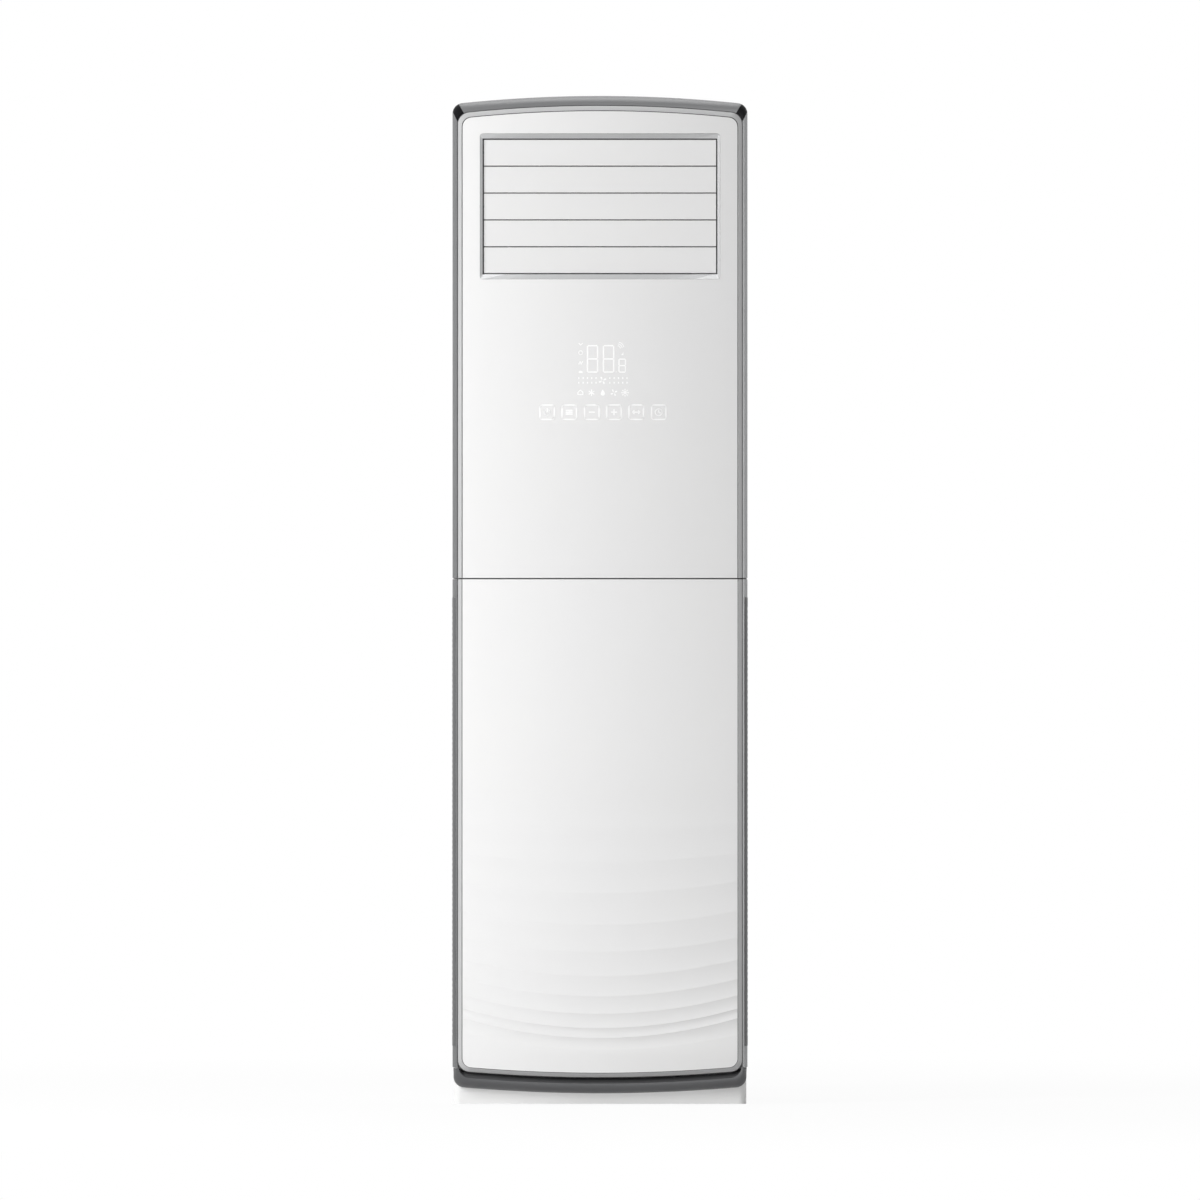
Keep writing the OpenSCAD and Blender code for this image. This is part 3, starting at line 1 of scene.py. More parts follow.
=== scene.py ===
# %% [markdown]
# # A floor-standing cabinet air conditioner, dressed for its portrait
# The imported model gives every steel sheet, moulding and bearing its true place. This lesson adds
# what a solid can't carry: paint, plating, moulded grain, printed keys and a finely rippled door.
# Meshes are worked out in millimetres and become metres when they are made. Finishes, lamps and the
# camera are given in metres.

import math

import bmesh
import bpy
import numpy as np
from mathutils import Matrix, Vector


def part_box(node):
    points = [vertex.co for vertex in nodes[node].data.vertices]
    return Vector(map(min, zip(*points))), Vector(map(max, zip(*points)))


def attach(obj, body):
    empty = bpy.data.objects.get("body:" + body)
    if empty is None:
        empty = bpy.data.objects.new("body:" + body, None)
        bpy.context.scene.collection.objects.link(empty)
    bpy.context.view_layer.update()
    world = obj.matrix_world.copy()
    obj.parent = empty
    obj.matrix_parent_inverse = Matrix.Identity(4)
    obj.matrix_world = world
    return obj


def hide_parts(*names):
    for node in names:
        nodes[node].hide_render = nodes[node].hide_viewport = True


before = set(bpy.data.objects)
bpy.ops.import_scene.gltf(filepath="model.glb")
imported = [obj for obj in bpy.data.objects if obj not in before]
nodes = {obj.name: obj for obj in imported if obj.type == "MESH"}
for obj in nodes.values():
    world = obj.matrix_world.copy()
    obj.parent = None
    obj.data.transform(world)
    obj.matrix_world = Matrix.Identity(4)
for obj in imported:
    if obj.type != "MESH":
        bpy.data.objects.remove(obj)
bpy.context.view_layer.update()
MM = 0.001

# %% [markdown]
# ## Shader maths as plain arithmetic
# A finish is a small network of shader nodes. Wiring them by hand hides the idea, so one class wraps
# a socket and lets + - * and the comparisons do the wiring. Numbers go through Math nodes and vectors
# through Vector Math. Colours are mixed by a Mix node, because a Math node would turn a colour grey.

# %% One socket that can be added, scaled and compared
class Wire:
    """One output socket of a finish."""

    def __init__(self, finish, socket):
        self.finish = finish
        self.socket = socket

    def _join(self, operation, other, swapped=False):
        a, b = (other, self) if swapped else (self, other)
        kind = "ShaderNodeVectorMath" if self.socket.type == "VECTOR" else "ShaderNodeMath"
        return self.finish.add(kind, {"operation": operation}, {0: a, 1: b})

    def __add__(self, other):
        return self._join("ADD", other)

    def __radd__(self, other):
        return self._join("ADD", other, True)

    def __sub__(self, other):
        return self._join("SUBTRACT", other)

    def __rsub__(self, other):
        return self._join("SUBTRACT", other, True)

    def __mul__(self, other):
        return self._join("MULTIPLY", other)

    def __rmul__(self, other):
        return self._join("MULTIPLY", other)

    def __mod__(self, other):
        return self._join("FLOORED_MODULO", other)

    def __lt__(self, other):
        return self._join("LESS_THAN", other)

    def __gt__(self, other):
        return self._join("GREATER_THAN", other)

    def __abs__(self):
        return self.finish.add("ShaderNodeMath", {"operation": "ABSOLUTE"}, {0: self})


# %% [markdown]
# ## One method for every node
# A finish holds one material and its shader. Every node in it comes from the method add, which takes
# the node's type, its settings and what goes into its sockets. The methods after it are short names
# for the nodes that nearly every finish needs: a place, a cloud, a cell pattern, a blend and a relief.

# %% A finish: one material, one shader and the wires that feed it
class Finish:
    """A procedural material for one kind of surface."""

    def __init__(self, name):
        self.material = bpy.data.materials.new(name)
        self.material.use_nodes = True
        self.tree = self.material.node_tree
        self.tree.nodes.clear()
        out = self.tree.nodes.new("ShaderNodeOutputMaterial")
        self.shader = self.tree.nodes.new("ShaderNodeBsdfPrincipled")
        self.tree.links.new(self.shader.outputs[0], out.inputs["Surface"])

    def add(self, kind, settings=None, inputs=None, output=0):
        """Adds a node: its settings first, then its sockets, and gives back one of its outputs."""
        node = self.tree.nodes.new(kind)
        for key, value in (settings or {}).items():
            if key == "stops":
                while len(node.color_ramp.elements) < len(value):
                    node.color_ramp.elements.new(0.5)
                for element, (place, tone) in zip(node.color_ramp.elements, value):
                    element.position = place
                    element.color = (tone, tone, tone, 1.0)
            else:
                setattr(node, key, value)
        for key, value in (inputs or {}).items():
            self.feed(node.inputs[key], value)
        return Wire(self, node.outputs[output])

    def feed(self, socket, value):
        """Links a wire to a socket, or sets the socket to a number, vector or colour."""
        if isinstance(value, Wire):
            self.tree.links.new(value.socket, socket)
        elif isinstance(value, (tuple, list)) and socket.type == "RGBA":
            socket.default_value = (*value[:3], 1.0)
        else:
            socket.default_value = value

    def set(self, **sockets):
        """Constants go on the shader's own sockets, and wires are linked to them."""
        for key, value in sockets.items():
            self.feed(self.shader.inputs[key.replace("_", " ").title().replace("Ior", "IOR")], value)

    def place(self):
        """The point on the piece in metres, in the piece's own axes."""
        return self.add("ShaderNodeTexCoord", output=3)

    def axis(self, letter):
        """One coordinate of the point, named by its letter."""
        return self.add("ShaderNodeSeparateXYZ", {}, {0: self.place()}, "XYZ".index(letter))

    def noise(self, scale, detail=3.0, rough=0.5, stretch=None):
        """Soft random cloud, from 0 to 1, with scale lumps to the metre."""
        spot = self.place() * stretch if stretch else self.place()
        return self.add("ShaderNodeTexNoise", {"noise_dimensions": "3D"},
                        {"Vector": spot, "Scale": scale, "Detail": detail, "Roughness": rough})

    def cells(self, scale, output=0):
        """Cell pattern with scale cells to the metre: output 0 is the distance, 1 a colour per cell."""
        return self.add("ShaderNodeTexVoronoi", {"feature": "F1"},
                        {"Vector": self.place(), "Scale": scale}, output)

    def blend(self, share, first, second):
        """Colour first where share is 0 and second where it is 1."""
        return self.add("ShaderNodeMix", {"data_type": "RGBA", "blend_type": "MIX"},
                        {0: share, 6: first, 7: second}, 2)

    def bump(self, height, distance, strength=1.0):
        """Relief of the given depth in metres for a height from 0 to 1."""
        self.set(normal=self.add("ShaderNodeBump", {}, {"Height": height, "Distance": distance,
                                                        "Strength": strength}))
        return self


print("a finish starts with", len(Finish("probe").tree.nodes), "nodes")
bpy.data.materials.remove(bpy.data.materials["probe"])

# %% [markdown]
# ## Gloss white mouldings
# The front panels are injection-moulded and polished. Seen close, such a panel has a faint orange
# peel and its white drifts a little from cool to warm. A flat white would look like paper, so two
# nearly equal whites are mixed by a broad cloud and a clear coat carries the sharp reflection. The
# pins at a blade's ends, moulded with the white blade, are coloured near black as painted shade, so
# the gap beside the blades reads dark.

# %% The white panels and the outlet blades
PIN_START = 0.21182
# Painted shade: the blade pins are coloured near black so the gap beside the blades reads dark.
PIN_PAINTED_SHADE = (0.030, 0.030, 0.032)


def gloss_white(name, cool, warm, roughness, shade_pins_from=None):
    f = Finish(name)
    drift = f.noise(3.0, 2.0)
    speck = f.noise(900.0, 2.0)
    white = f.blend(drift, cool, warm)
    # Beyond this X the blade's white gives way to painted shade on the pins.
    if shade_pins_from:
        white = f.blend(abs(f.axis("X")) > shade_pins_from, white, PIN_PAINTED_SHADE)
    f.set(base_color=white, roughness=roughness + 0.06 * speck,
          coat_weight=0.25, coat_roughness=0.08, ior=1.48)
    peel = f.noise(420.0, 2.0) * 0.6 + f.noise(1500.0, 1.0) * 0.4
    return f.bump(peel, 0.00002, 0.35).material


panel_white = gloss_white("panel_white", (0.80, 0.80, 0.805), (0.815, 0.812, 0.805), 0.30)
blade_white = gloss_white("blade_white", (0.79, 0.79, 0.795), (0.805, 0.802, 0.795), 0.34, PIN_START)
print("whites:", panel_white.name, blade_white.name)

# %% [markdown]
# ## Silver and grey metallic paint
# The bezels are sprayed silver and the casing round them a darker grey. Metallic paint is a clear
# coat over thousands of tiny flakes: a fine cell pattern gives each flake its own tone, and a slow
# cloud stands for the drift of the spray gun. Inside the outlet's bevel the frame's paint turns near
# black and loses its metal, a painted shade that draws a thin dark line round the blades where the
# gap lies.

# %% Metallic paint for bezels, casing and top cover
OUTLET_HOLE = {"half": 0.2143, "foot": 1.5154, "head": 1.7632}
# Painted shade: near black with no metal inside the outlet's bevel, where the gap round the blades lies.
GAP_PAINTED_SHADE = (0.020, 0.020, 0.022)


def flake_paint(name, tone, spread, metallic, roughness, coat=0.12, hole=None):
    f = Finish(name)
    flake = f.add("ShaderNodeSeparateColor", {}, {0: f.cells(4200.0, output=1)})
    drift = f.noise(5.0, 2.0)
    low = tuple(c * (1.0 - spread) for c in tone)
    high = tuple(c * (1.0 + spread) for c in tone)
    paint = f.blend(flake * 0.7 + drift * 0.3, low, high)
    # Inside the opening the silver gives way to painted shade and loses its metal.
    if hole:
        inside = abs(f.axis("X")) < hole["half"]
        outlet_gap_shade = inside * (f.axis("Z") > hole["foot"]) * (f.axis("Z") < hole["head"])
        paint = f.blend(outlet_gap_shade, paint, GAP_PAINTED_SHADE)
        metallic = (1.0 - outlet_gap_shade) * metallic
    f.set(base_color=paint, metallic=metallic,
          roughness=roughness + 0.08 * flake, coat_weight=coat, coat_roughness=0.18)
    return f.bump(f.noise(1600.0, 2.0), 0.000015, 0.4).material


bezel_silver = flake_paint("bezel_silver", (0.49, 0.492, 0.495), 0.08, 0.30, 0.36)
casing_grey = flake_paint("casing_grey", (0.165, 0.167, 0.170), 0.10, 0.18, 0.50, 0.05)
outlet_silver = flake_paint("outlet_silver", (0.48, 0.485, 0.49), 0.08, 0.25, 0.38, hole=OUTLET_HOLE)
trim_grey = flake_paint("trim_grey", (0.09, 0.091, 0.094), 0.10, 0.20, 0.42, 0.05)
print("paints:", bezel_silver.name, casing_grey.name, outlet_silver.name)

# %% [markdown]
# ## Moulded dark plastic
# Hidden and shaded mouldings are left unpainted. Their tool is spark-eroded, which leaves a fine
# leathery grain that scatters light. The grain is one cell pattern with a little noise, and the
# hollows of the grain are painted slightly darker as shade. One finish here is no moulding at all but
# painted shade, laid in the thin gaps beside the silver bezels.

# %% Dark mouldings, the grilles and the vanes
def grained_plastic(name, tone, roughness, grain=1500.0, depth=0.00005, sheen=0.5):
    f = Finish(name)
    pit = f.cells(grain) * 0.7 + f.noise(grain * 1.7, 2.0) * 0.3
    cloud = f.noise(14.0, 3.0)
    low = tuple(c * 0.78 for c in tone)
    # Painted shade: the hollows of the grain are darker; the cloud adds tone at random.
    f.set(base_color=f.blend(pit * 0.55 + cloud * 0.45, low, tone), roughness=roughness - 0.1 * pit,
          specular_ior_level=sheen)
    return f.bump(pit, depth, 0.6).material


trim_black = grained_plastic("trim_black", (0.030, 0.030, 0.032), 0.42)
grille_grey = grained_plastic("grille_grey", (0.115, 0.117, 0.120), 0.48)
vane_dark = grained_plastic("vane_dark", (0.055, 0.055, 0.058), 0.50)
pan_dark = grained_plastic("pan_dark", (0.060, 0.060, 0.064), 0.52, 900.0)
wheel_black = grained_plastic("wheel_black", (0.040, 0.041, 0.044), 0.45, 1100.0)
ring_dark = grained_plastic("ring_dark", (0.075, 0.076, 0.080), 0.46)
# Painted shade: no real plastic, a near-black colour for the gaps on each side of the bezels' silver.
gap_shade_plastic = grained_plastic("gap_shade_plastic", (0.022, 0.022, 0.024), 0.60)
cap_black = grained_plastic("cap_black", (0.008, 0.008, 0.009), 0.50, sheen=0.08)
print("dark mouldings:", len([m for m in bpy.data.materials if m.name.endswith(("black", "dark"))]))

# %% [markdown]
# ## Powder-coated and zinc-coated sheet
# The sides are powder-coated, a thick paint with a visible peel. The back and the inside are bare
# zinc-coated sheet, whose crystals make grey spangles the size of a fingernail. A cell pattern gives
# each crystal its own tone and gloss, which is how it is told from plain steel.

# %% Sheet finishes
def powder_coat(name, tone):
    f = Finish(name)
    peel = f.noise(650.0, 2.0) * 0.7 + f.noise(2200.0, 1.0) * 0.3
    drift = f.noise(4.0, 2.0)
    low = tuple(c * 0.965 for c in tone)
    f.set(base_color=f.blend(drift, low, tone), roughness=0.36 + 0.12 * peel)
    return f.bump(peel, 0.00005, 0.5).material


def zinc_spangle(name, tone):
    f = Finish(name)
    crystal = f.add("ShaderNodeSeparateColor", {}, {0: f.cells(95.0, output=1)})
    frost = f.noise(700.0, 3.0, stretch=(1.0, 1.0, 0.25))
    low = tuple(c * 0.80 for c in tone)
    f.set(base_color=f.blend(crystal * 0.75 + frost * 0.25, low, tone), metallic=0.9,
          roughness=0.34 + 0.16 * crystal)
    return f.bump(crystal * 0.6 + frost * 0.4, 0.00003, 0.4).material


sheet_white = powder_coat("sheet_white", (0.66, 0.66, 0.655))
plinth_white = powder_coat("plinth_white", (0.80, 0.80, 0.795))
sheet_zinc = zinc_spangle("sheet_zinc", (0.60, 0.61, 0.61))
print("sheets:", sheet_white.name, sheet_zinc.name)

# %% [markdown]
# ## Motors, copper, brass, fins and hose
# Each of these metals has one mark of how it was made: a motor can is turned and plated, copper is
# drawn and browns where it is brazed, fin stock is rolled, and a brass nut is cut on a lathe. A noise
# stretched along one axis gives the drawn or turned lines.

# %% Small metals
def drawn_metal(name, fresh, dull, metallic, roughness, lines, stain):
    f = Finish(name)
    streak = f.noise(260.0, 2.0, stretch=lines)
    patch = f.add("ShaderNodeValToRGB", {"stops": [(0.42, 0.0), (0.68, 1.0)]},
                  {0: f.noise(stain, 4.0, 0.6)})
    tarnish = f.add("ShaderNodeSeparateColor", {}, {0: patch})
    f.set(base_color=f.blend(tarnish * 0.7 + streak * 0.3, fresh, dull), metallic=metallic,
          roughness=roughness + 0.14 * tarnish + 0.06 * streak)
    return f.bump(streak, 0.00002, 0.4).material


motor_plate, stepper_plate, copper_tube, nut_brass, fin_stock = metals = [drawn_metal(*row) for row in (
    ("motor_plate", (0.56, 0.57, 0.58), (0.42, 0.43, 0.44), 0.9, 0.30, (1, 30, 1), 18.0),
    ("stepper_plate", (0.60, 0.61, 0.62), (0.47, 0.48, 0.49), 0.9, 0.28, (6, 1, 1), 40.0),
    ("copper_tube", (0.72, 0.36, 0.22), (0.36, 0.19, 0.12), 1.0, 0.24, (6, 6, 1), 22.0),
    ("nut_brass", (0.72, 0.52, 0.22), (0.52, 0.37, 0.16), 1.0, 0.26, (1, 14, 1), 60.0),
    ("fin_stock", (0.70, 0.72, 0.74), (0.56, 0.58, 0.60), 0.95, 0.32, (1, 1, 8), 30.0),
)]
print("metals:", [m.name for m in metals])

# %% [markdown]
# ## Hose and duct lining
# The drain hose is soft rubber with shallow rings that let it bend, so a sine along its height makes
# the relief. The duct is lined with closed-cell foam against noise and dripping. Its small round beads
# are a cell pattern turned over: one minus the distance to each cell's middle. The foam is painted
# darker between the beads, as shade in the hollows.

# %% The rubber hose and its rings
RING_TURN = 2100.0
hose = Finish("hose_rubber")
rib = hose.add("ShaderNodeMath", {"operation": "SINE"}, {0: hose.axis("Z") * RING_TURN}) * 0.5 + 0.5
scuff = hose.noise(60.0, 4.0)
hose.set(base_color=hose.blend(scuff, (0.018, 0.018, 0.020), (0.040, 0.040, 0.043)),
         roughness=0.55 + 0.2 * scuff)
hose_rubber = hose.bump(rib * 0.7 + scuff * 0.3, 0.0003, 0.7).material

# %% The duct, lined with closed-cell foam
foam = Finish("duct_foam")
bead = foam.cells(260.0)
pore = foam.noise(1200.0, 2.0)
# Painted shade: darker between the beads, where the hollows are.
foam.set(base_color=foam.blend(bead * 0.8 + pore * 0.2, (0.080, 0.081, 0.085), (0.045, 0.045, 0.048)),
         roughness=0.72 + 0.1 * pore)
duct_foam = foam.bump(1.0 - bead, 0.0004, 0.6).material
print("soft finishes:", hose_rubber.name, duct_foam.name)

# %% [markdown]
# ## Circuit boards
# A board is green lacquer over copper tracks, with black parts soldered on its face. Both boards
# stand upright, so the distance along Y tells lacquer from parts. The tracks are the mortar lines of
# a brick texture with shifted rows.

# %% Boards: tracks in the lacquer, black parts in front of it
PARTS_HIGH = 0.0113
LACQUER = 0.0003
DISPLAY_FACE = -0.178


def board_finish(name, face_y):
    f = Finish(name)
    tracks = f.add("ShaderNodeTexBrick", {"offset": 0.37, "offset_frequency": 3},
                   {"Vector": f.add("ShaderNodeCombineXYZ", {}, {0: f.axis("X"), 1: f.axis("Z")}),
                    "Scale": 70.0, "Mortar Size": 0.035, "Brick Width": 0.8, "Row Height": 0.22}, 1)
    speck = f.noise(500.0, 3.0)
    lacquer = f.blend(tracks, (0.012, 0.085, 0.035), (0.030, 0.180, 0.075))
    part = f.blend(speck, (0.018, 0.018, 0.020), (0.050, 0.050, 0.055))
    on_parts = f.axis("Y") < (face_y - LACQUER)
    f.set(base_color=f.blend(on_parts, lacquer, part), roughness=0.34 + 0.2 * on_parts + 0.08 * speck)
    return f.bump(tracks * 0.6 + speck * 0.4, 0.00006, 0.5).material


control_green = board_finish("control_green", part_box("control_board")[1].y - PARTS_HIGH)
display_green = board_finish("display_green", DISPLAY_FACE)
print("boards:", control_green.name, display_green.name)

# %% [markdown]
# ## Filter mesh
# The filter is a moulded frame with a fine woven net. The net is a thin web in the model, so the
# weave is cut into it with Alpha: strands run along Y and Z a little over a millimetre apart, and
# only the web between the ribs is opened. The ribs and the frame stay solid.

# %% Net in the web, plain moulding elsewhere
NET_PITCH, NET_STRAND = 0.0012, 0.00042
WEB_X, WEB_HALF = 0.25, 0.00025
net = Finish("filter_net")
across, upright = [net.axis(letter) % NET_PITCH < NET_STRAND for letter in "YZ"]
strands = net.add("ShaderNodeMath", {"operation": "MAXIMUM"}, {0: across, 1: upright})
off_web = abs(abs(net.axis("X")) - WEB_X) > WEB_HALF
weave = net.add("ShaderNodeMath", {"operation": "MAXIMUM"}, {0: strands, 1: off_web})
dust = net.noise(40.0, 4.0)
net.set(base_color=net.blend(dust, (0.52, 0.54, 0.56), (0.36, 0.37, 0.38)), roughness=0.5 + 0.2 * dust,
        alpha=weave)
filter_net = net.bump(net.noise(1300.0, 2.0), 0.00004, 0.5).material
print("net:", filter_net.name)

# %% [markdown]
# ## Give every node its finish
# A node keeps its mesh, and only the material in its slot changes. The list goes by what the real
# piece is made of, so that a scene can repaint all pieces of one stuff at once.

# %% Dress the nodes
def dress(material, *names):
    """Puts a finish on nodes and gives back how many there were."""
    for name in names:
        for slot in nodes[name].material_slots:
            slot.material = material
    return len(names)


blades = [f"louvre_{i}" for i in range(1, 6)]
vanes = [f"vane_{i}" for i in range(1, 8)]
dressed = sum((
    dress(panel_white, "upper_panel", "lower_panel"),
    dress(blade_white, *blades),
    dress(bezel_silver, "upper_bezel", "lower_bezel"),
    dress(outlet_silver, "outlet_frame"),
    dress(casing_grey, "upper_shell", "door_frame", "top_cover"),
    dress(trim_grey, "bottom_trim"),
    dress(cap_black, "corner_caps"),
    dress(trim_black, "door_catches", "terminal_block", "cable_gland", "louvre_link", "vane_link"),
    dress(grille_grey, "intake_grille_left", "intake_grille_right"),
    dress(vane_dark, *vanes),
    dress(pan_dark, "drain_pan"),
    dress(wheel_black, "blower_wheel"),
    dress(ring_dark, "inlet_ring"),
    dress(sheet_white, "side_panel_left", "side_panel_right"),
    dress(plinth_white, "plinth"),
    dress(sheet_zinc, "base_pan", "rear_panel", "mid_rail", "blower_deck", "hinge_brackets",
          "blower_housing", "motor_bracket", "coil_end_plates", "electric_box", "electric_cover",
          "cabinet_screws", "wall_plate"),
    dress(motor_plate, "blower_motor"),
    dress(stepper_plate, "louvre_motor", "vane_motor"),
    dress(duct_foam, "outlet_duct"),
    dress(fin_stock, "coil_fins"),
    dress(copper_tube, "coil_tubes", "refrigerant_pipes"),
    dress(nut_brass, "flare_nuts"),
    dress(hose_rubber, "drain_hose"),
    dress(control_green, "control_board"),
    dress(display_green, "display_board"),
    dress(filter_net, "filter_left", "filter_right"),
))
print("dressed", dressed, "of", len(nodes), "nodes")

# %% [markdown]
# ## The cabinet's own curves
# The front bows forward on one large radius, and the top and the door's foot are arches with round
# corners. A few formulas give every band and panel below, so they stay in step with one another.

# %% Sizes and curves, in millimetres
CASING_HALF = 269.5
FRONT_Y = -190.0
BODY_H = 1842.0
BOW_HALF, BOW_FALL = 251.0, 10.0
BOW_R = (BOW_HALF ** 2 + BOW_FALL ** 2) / (2.0 * BOW_FALL)
TOP_ARCH_R = 2446.0
LOW_ARCH_R = 2900.0
CORNER_R = 20.0
WALL = 2.5
STRIP_W = 9.0
BAND_H = 18.0
BEZEL_W = 8.5
BEZEL_RISE = 9.8
DOOR_BEZEL_RISE = 8.7
LIP = 8.0
GAP = 0.3
CURVE_Y = -150.0
JOIN_Y = -105.0
SEAM_TOP = 961.2
SEAM_FOOT = 958.8
TRIM_Z = 19.7
TRIM_H = 18.8
CORNER_STEPS, ARCH_STEPS = 16, 60


def bow_y(x):
    """Y of the bowed front at x."""
    return FRONT_Y + BOW_R - np.sqrt(BOW_R ** 2 - np.asarray(x, float) ** 2)


def arch_path(half, z, corner, radius, sign, z_end):
    """Up one side, round the corner, along the arch and down the other side, as (x, z) points."""
    centre = z - sign * radius
    up = math.sqrt((radius - corner) ** 2 - (half - corner) ** 2)
    phi = math.atan2(up, half - corner)
    turn = math.pi - phi * np.arange(CORNER_STEPS + 1) / CORNER_STEPS
    left = [(-(half - corner) + corner * math.cos(a), centre + sign * (up + corner * math.sin(a)))
            for a in turn]
    sweep = math.pi - phi - (math.pi - 2 * phi) * np.arange(1, ARCH_STEPS) / ARCH_STEPS
    arch = [(radius * math.cos(a), centre + sign * radius * math.sin(a)) for a in sweep]
    right = [(-x, z1) for x, z1 in reversed(left)]
    return np.array([(-half, z_end), *left, *arch, *right, (half, z_end)])


print("bow radius %.0f mm, side of the bow %.1f mm back" % (BOW_R, bow_y(BOW_HALF) - FRONT_Y))

# %% [markdown]
# ## Thin mouldings as closed shells
# A moulding has a front, a back and an edge. It could be a sheet with a Solidify modifier, but the
# real pieces change thickness at their lips, so the front and the back are two grids of points that
# are sewn together round their rim. Angles under 30 degrees are shaded smooth and the rest stay crisp.

# %% Make one piece from its points and faces
def build(name, points, faces, material, body, crisp=30.0, tints=None):
    """A mesh piece that rides on a body; the faces marked in tints get the painted gap shade."""
    mesh = bpy.data.meshes.new(name)
    mesh.from_pydata([tuple(p) for p in points], [], faces)
    mesh.materials.append(material)
    # The second material is painted shade for the thin gaps beside the bezels.
    if tints and any(tints):
        mesh.materials.append(gap_shade_plastic)
        mesh.polygons.foreach_set("material_index", tints)
    work = bmesh.new()
    work.from_mesh(mesh)
    bmesh.ops.remove_doubles(work, verts=work.verts, dist=1e-6)
    bmesh.ops.recalc_face_normals(work, faces=work.faces)
    work.to_mesh(mesh)
    work.free()
    mesh.polygons.foreach_set("use_smooth", [True] * len(mesh.polygons))
    mesh.set_sharp_from_angle(angle=math.radians(crisp))
    piece = bpy.data.objects.new(name, mesh)
    bpy.context.scene.collection.objects.link(piece)
    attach(piece, body)
    print("%-18s %6d faces" % (name, len(mesh.polygons)))
    return piece


# %% Sew two grids into one shell
def shell(name, front, back, material, body, slot, shaded_columns=(), crisp=30.0):
    """Two grids of equal size as front and back; the listed front columns, and then the back and rim too,
    take the painted gap shade.
    """
    rows, columns = front.shape[:2]
    points = np.concatenate([front.reshape(-1, 3), back.reshape(-1, 3)]) * MM
    count = rows * columns
    faces, tints = [], []
    for i in range(rows - 1):
        for k in range(columns - 1):
            a, d = i * columns + k, (i + 1) * columns + k
            faces += [(a, a + 1, d + 1, d), (a + count, d + count, d + 1 + count, a + 1 + count)]
            tints += [int(k in shaded_columns), int(bool(shaded_columns))]
        for k in (0, columns - 1):
            a, d = i * columns + k, (i + 1) * columns + k
            faces.append((a, d, d + count, a + count))
            tints.append(int(bool(shaded_columns)))
    for i in (0, rows - 1):
        for k in range(columns - 1):
            a = i * columns + k
            faces.append((a, a + 1, a + 1 + count, a + count))
            tints.append(int(bool(shaded_columns)))
    return build(name, points, faces, material, body, crisp, tints)


# %% [markdown]
# ## Sections swept along the arch
# Every band round the front has one section all the way: the bezel's slope, the casing's quarter-round
# and the trim. A curve with a bevel profile could sweep it, but the section also has to lean with the
# bow. So each point of the section is given by how far it is inset from the side and dropped from the
# arch, its corner radius, its share of the bow and its Y, and it draws its own path.

# %% Bands that follow the arch
def band(chain, half, z, radius, sign, z_end, first=0, last=None):
    """A grid with one row for each step of the arch and one column for each point of the section."""
    grid = [[(x, share * bow_y(x) + y, height)
             for x, height in arch_path(half - side, z - sign * fall, corner, radius, sign, z_end)]
            for side, fall, corner, share, y in chain]
    return np.swapaxes(np.array(grid), 0, 1)[first:last]


def quarter(top, inside, steps=14):
    """The quarter-round from the casing's front lip to its side wall."""
    chain = []
    for i in range(steps + 1):
        s, c = math.sin(math.pi / 2 * i / steps), math.cos(math.pi / 2 * i / steps)
        if inside:
            chain.append((STRIP_W - (STRIP_W - WALL) * s, top - (top - WALL) * s,
                          CORNER_R + 2 - (2 + WALL) * s, c, CURVE_Y * (1 - c) + (LIP + WALL) * c))
        else:
            chain.append((STRIP_W * (1 - s), top * (1 - s), CORNER_R + 2 * (1 - s), c,
                          CURVE_Y * (1 - c) + LIP * c))
    return chain


# %% [markdown]
# ## Silver bezels
# A narrow silver slope runs round each front panel. It is a separate moulding with a thin lip that
# reaches behind the panel. Its outer edge and its lip are coloured near black as painted shade, so
# the thin gaps on each side of the silver read as dark lines. The imported one has
# flat facets at its corners, which show as steps in a reflection, so a smoother one takes its place.

# %% Section of a bezel
def bezel_chains(h, rise, deeper):
    """Front and back of the section: the outer edge, the slope and the lip behind the panel."""
    front = [(STRIP_W + GAP, h + GAP, CORNER_R + 2, 1, LIP + 0.2),
             (STRIP_W + GAP + 1.0, h + GAP + 1.0, CORNER_R + 1.7, 1, LIP - 0.7),
             (STRIP_W + BEZEL_W * 0.5, h + rise * 0.5, CORNER_R, 1, LIP * 0.5 + 0.55),
             (STRIP_W + BEZEL_W - 0.7, h + rise - 0.4, CORNER_R - 1.6, 1, 1.15),
             (STRIP_W + BEZEL_W - 0.3, h + rise, CORNER_R - 2, 1, 1.0),
             (STRIP_W + BEZEL_W - 0.2, h + rise + 0.1, CORNER_R - 2.1, 1, WALL + 0.4 + deeper),
             (STRIP_W + BEZEL_W + 4.5, h + rise + 4.5, CORNER_R - 5, 1, WALL + 0.4 + deeper)]
    back = [(STRIP_W + GAP, h + GAP, CORNER_R + 2, 1, LIP + 2.7),
            (STRIP_W + GAP + 1.0, h + GAP + 1.0, CORNER_R + 1.7, 1, LIP + 1.9),
            (STRIP_W + BEZEL_W * 0.5, h + rise * 0.5, CORNER_R, 1, LIP * 0.5 + 3.0),
            (STRIP_W + BEZEL_W - 1.2, h + rise - 1.2, CORNER_R - 0.8, 1, 5.4 + deeper),
            (STRIP_W + BEZEL_W - 0.8, h + rise - 0.8, CORNER_R - 1.2, 1, 5.2 + deeper),
            (STRIP_W + BEZEL_W - 0.4, h + rise - 0.4, CORNER_R - 1.6, 1, 5.0 + deeper),
            (STRIP_W + BEZEL_W + 4.5, h + rise + 4.5, CORNER_R - 5, 1, 4.9 + deeper)]
    return front, back


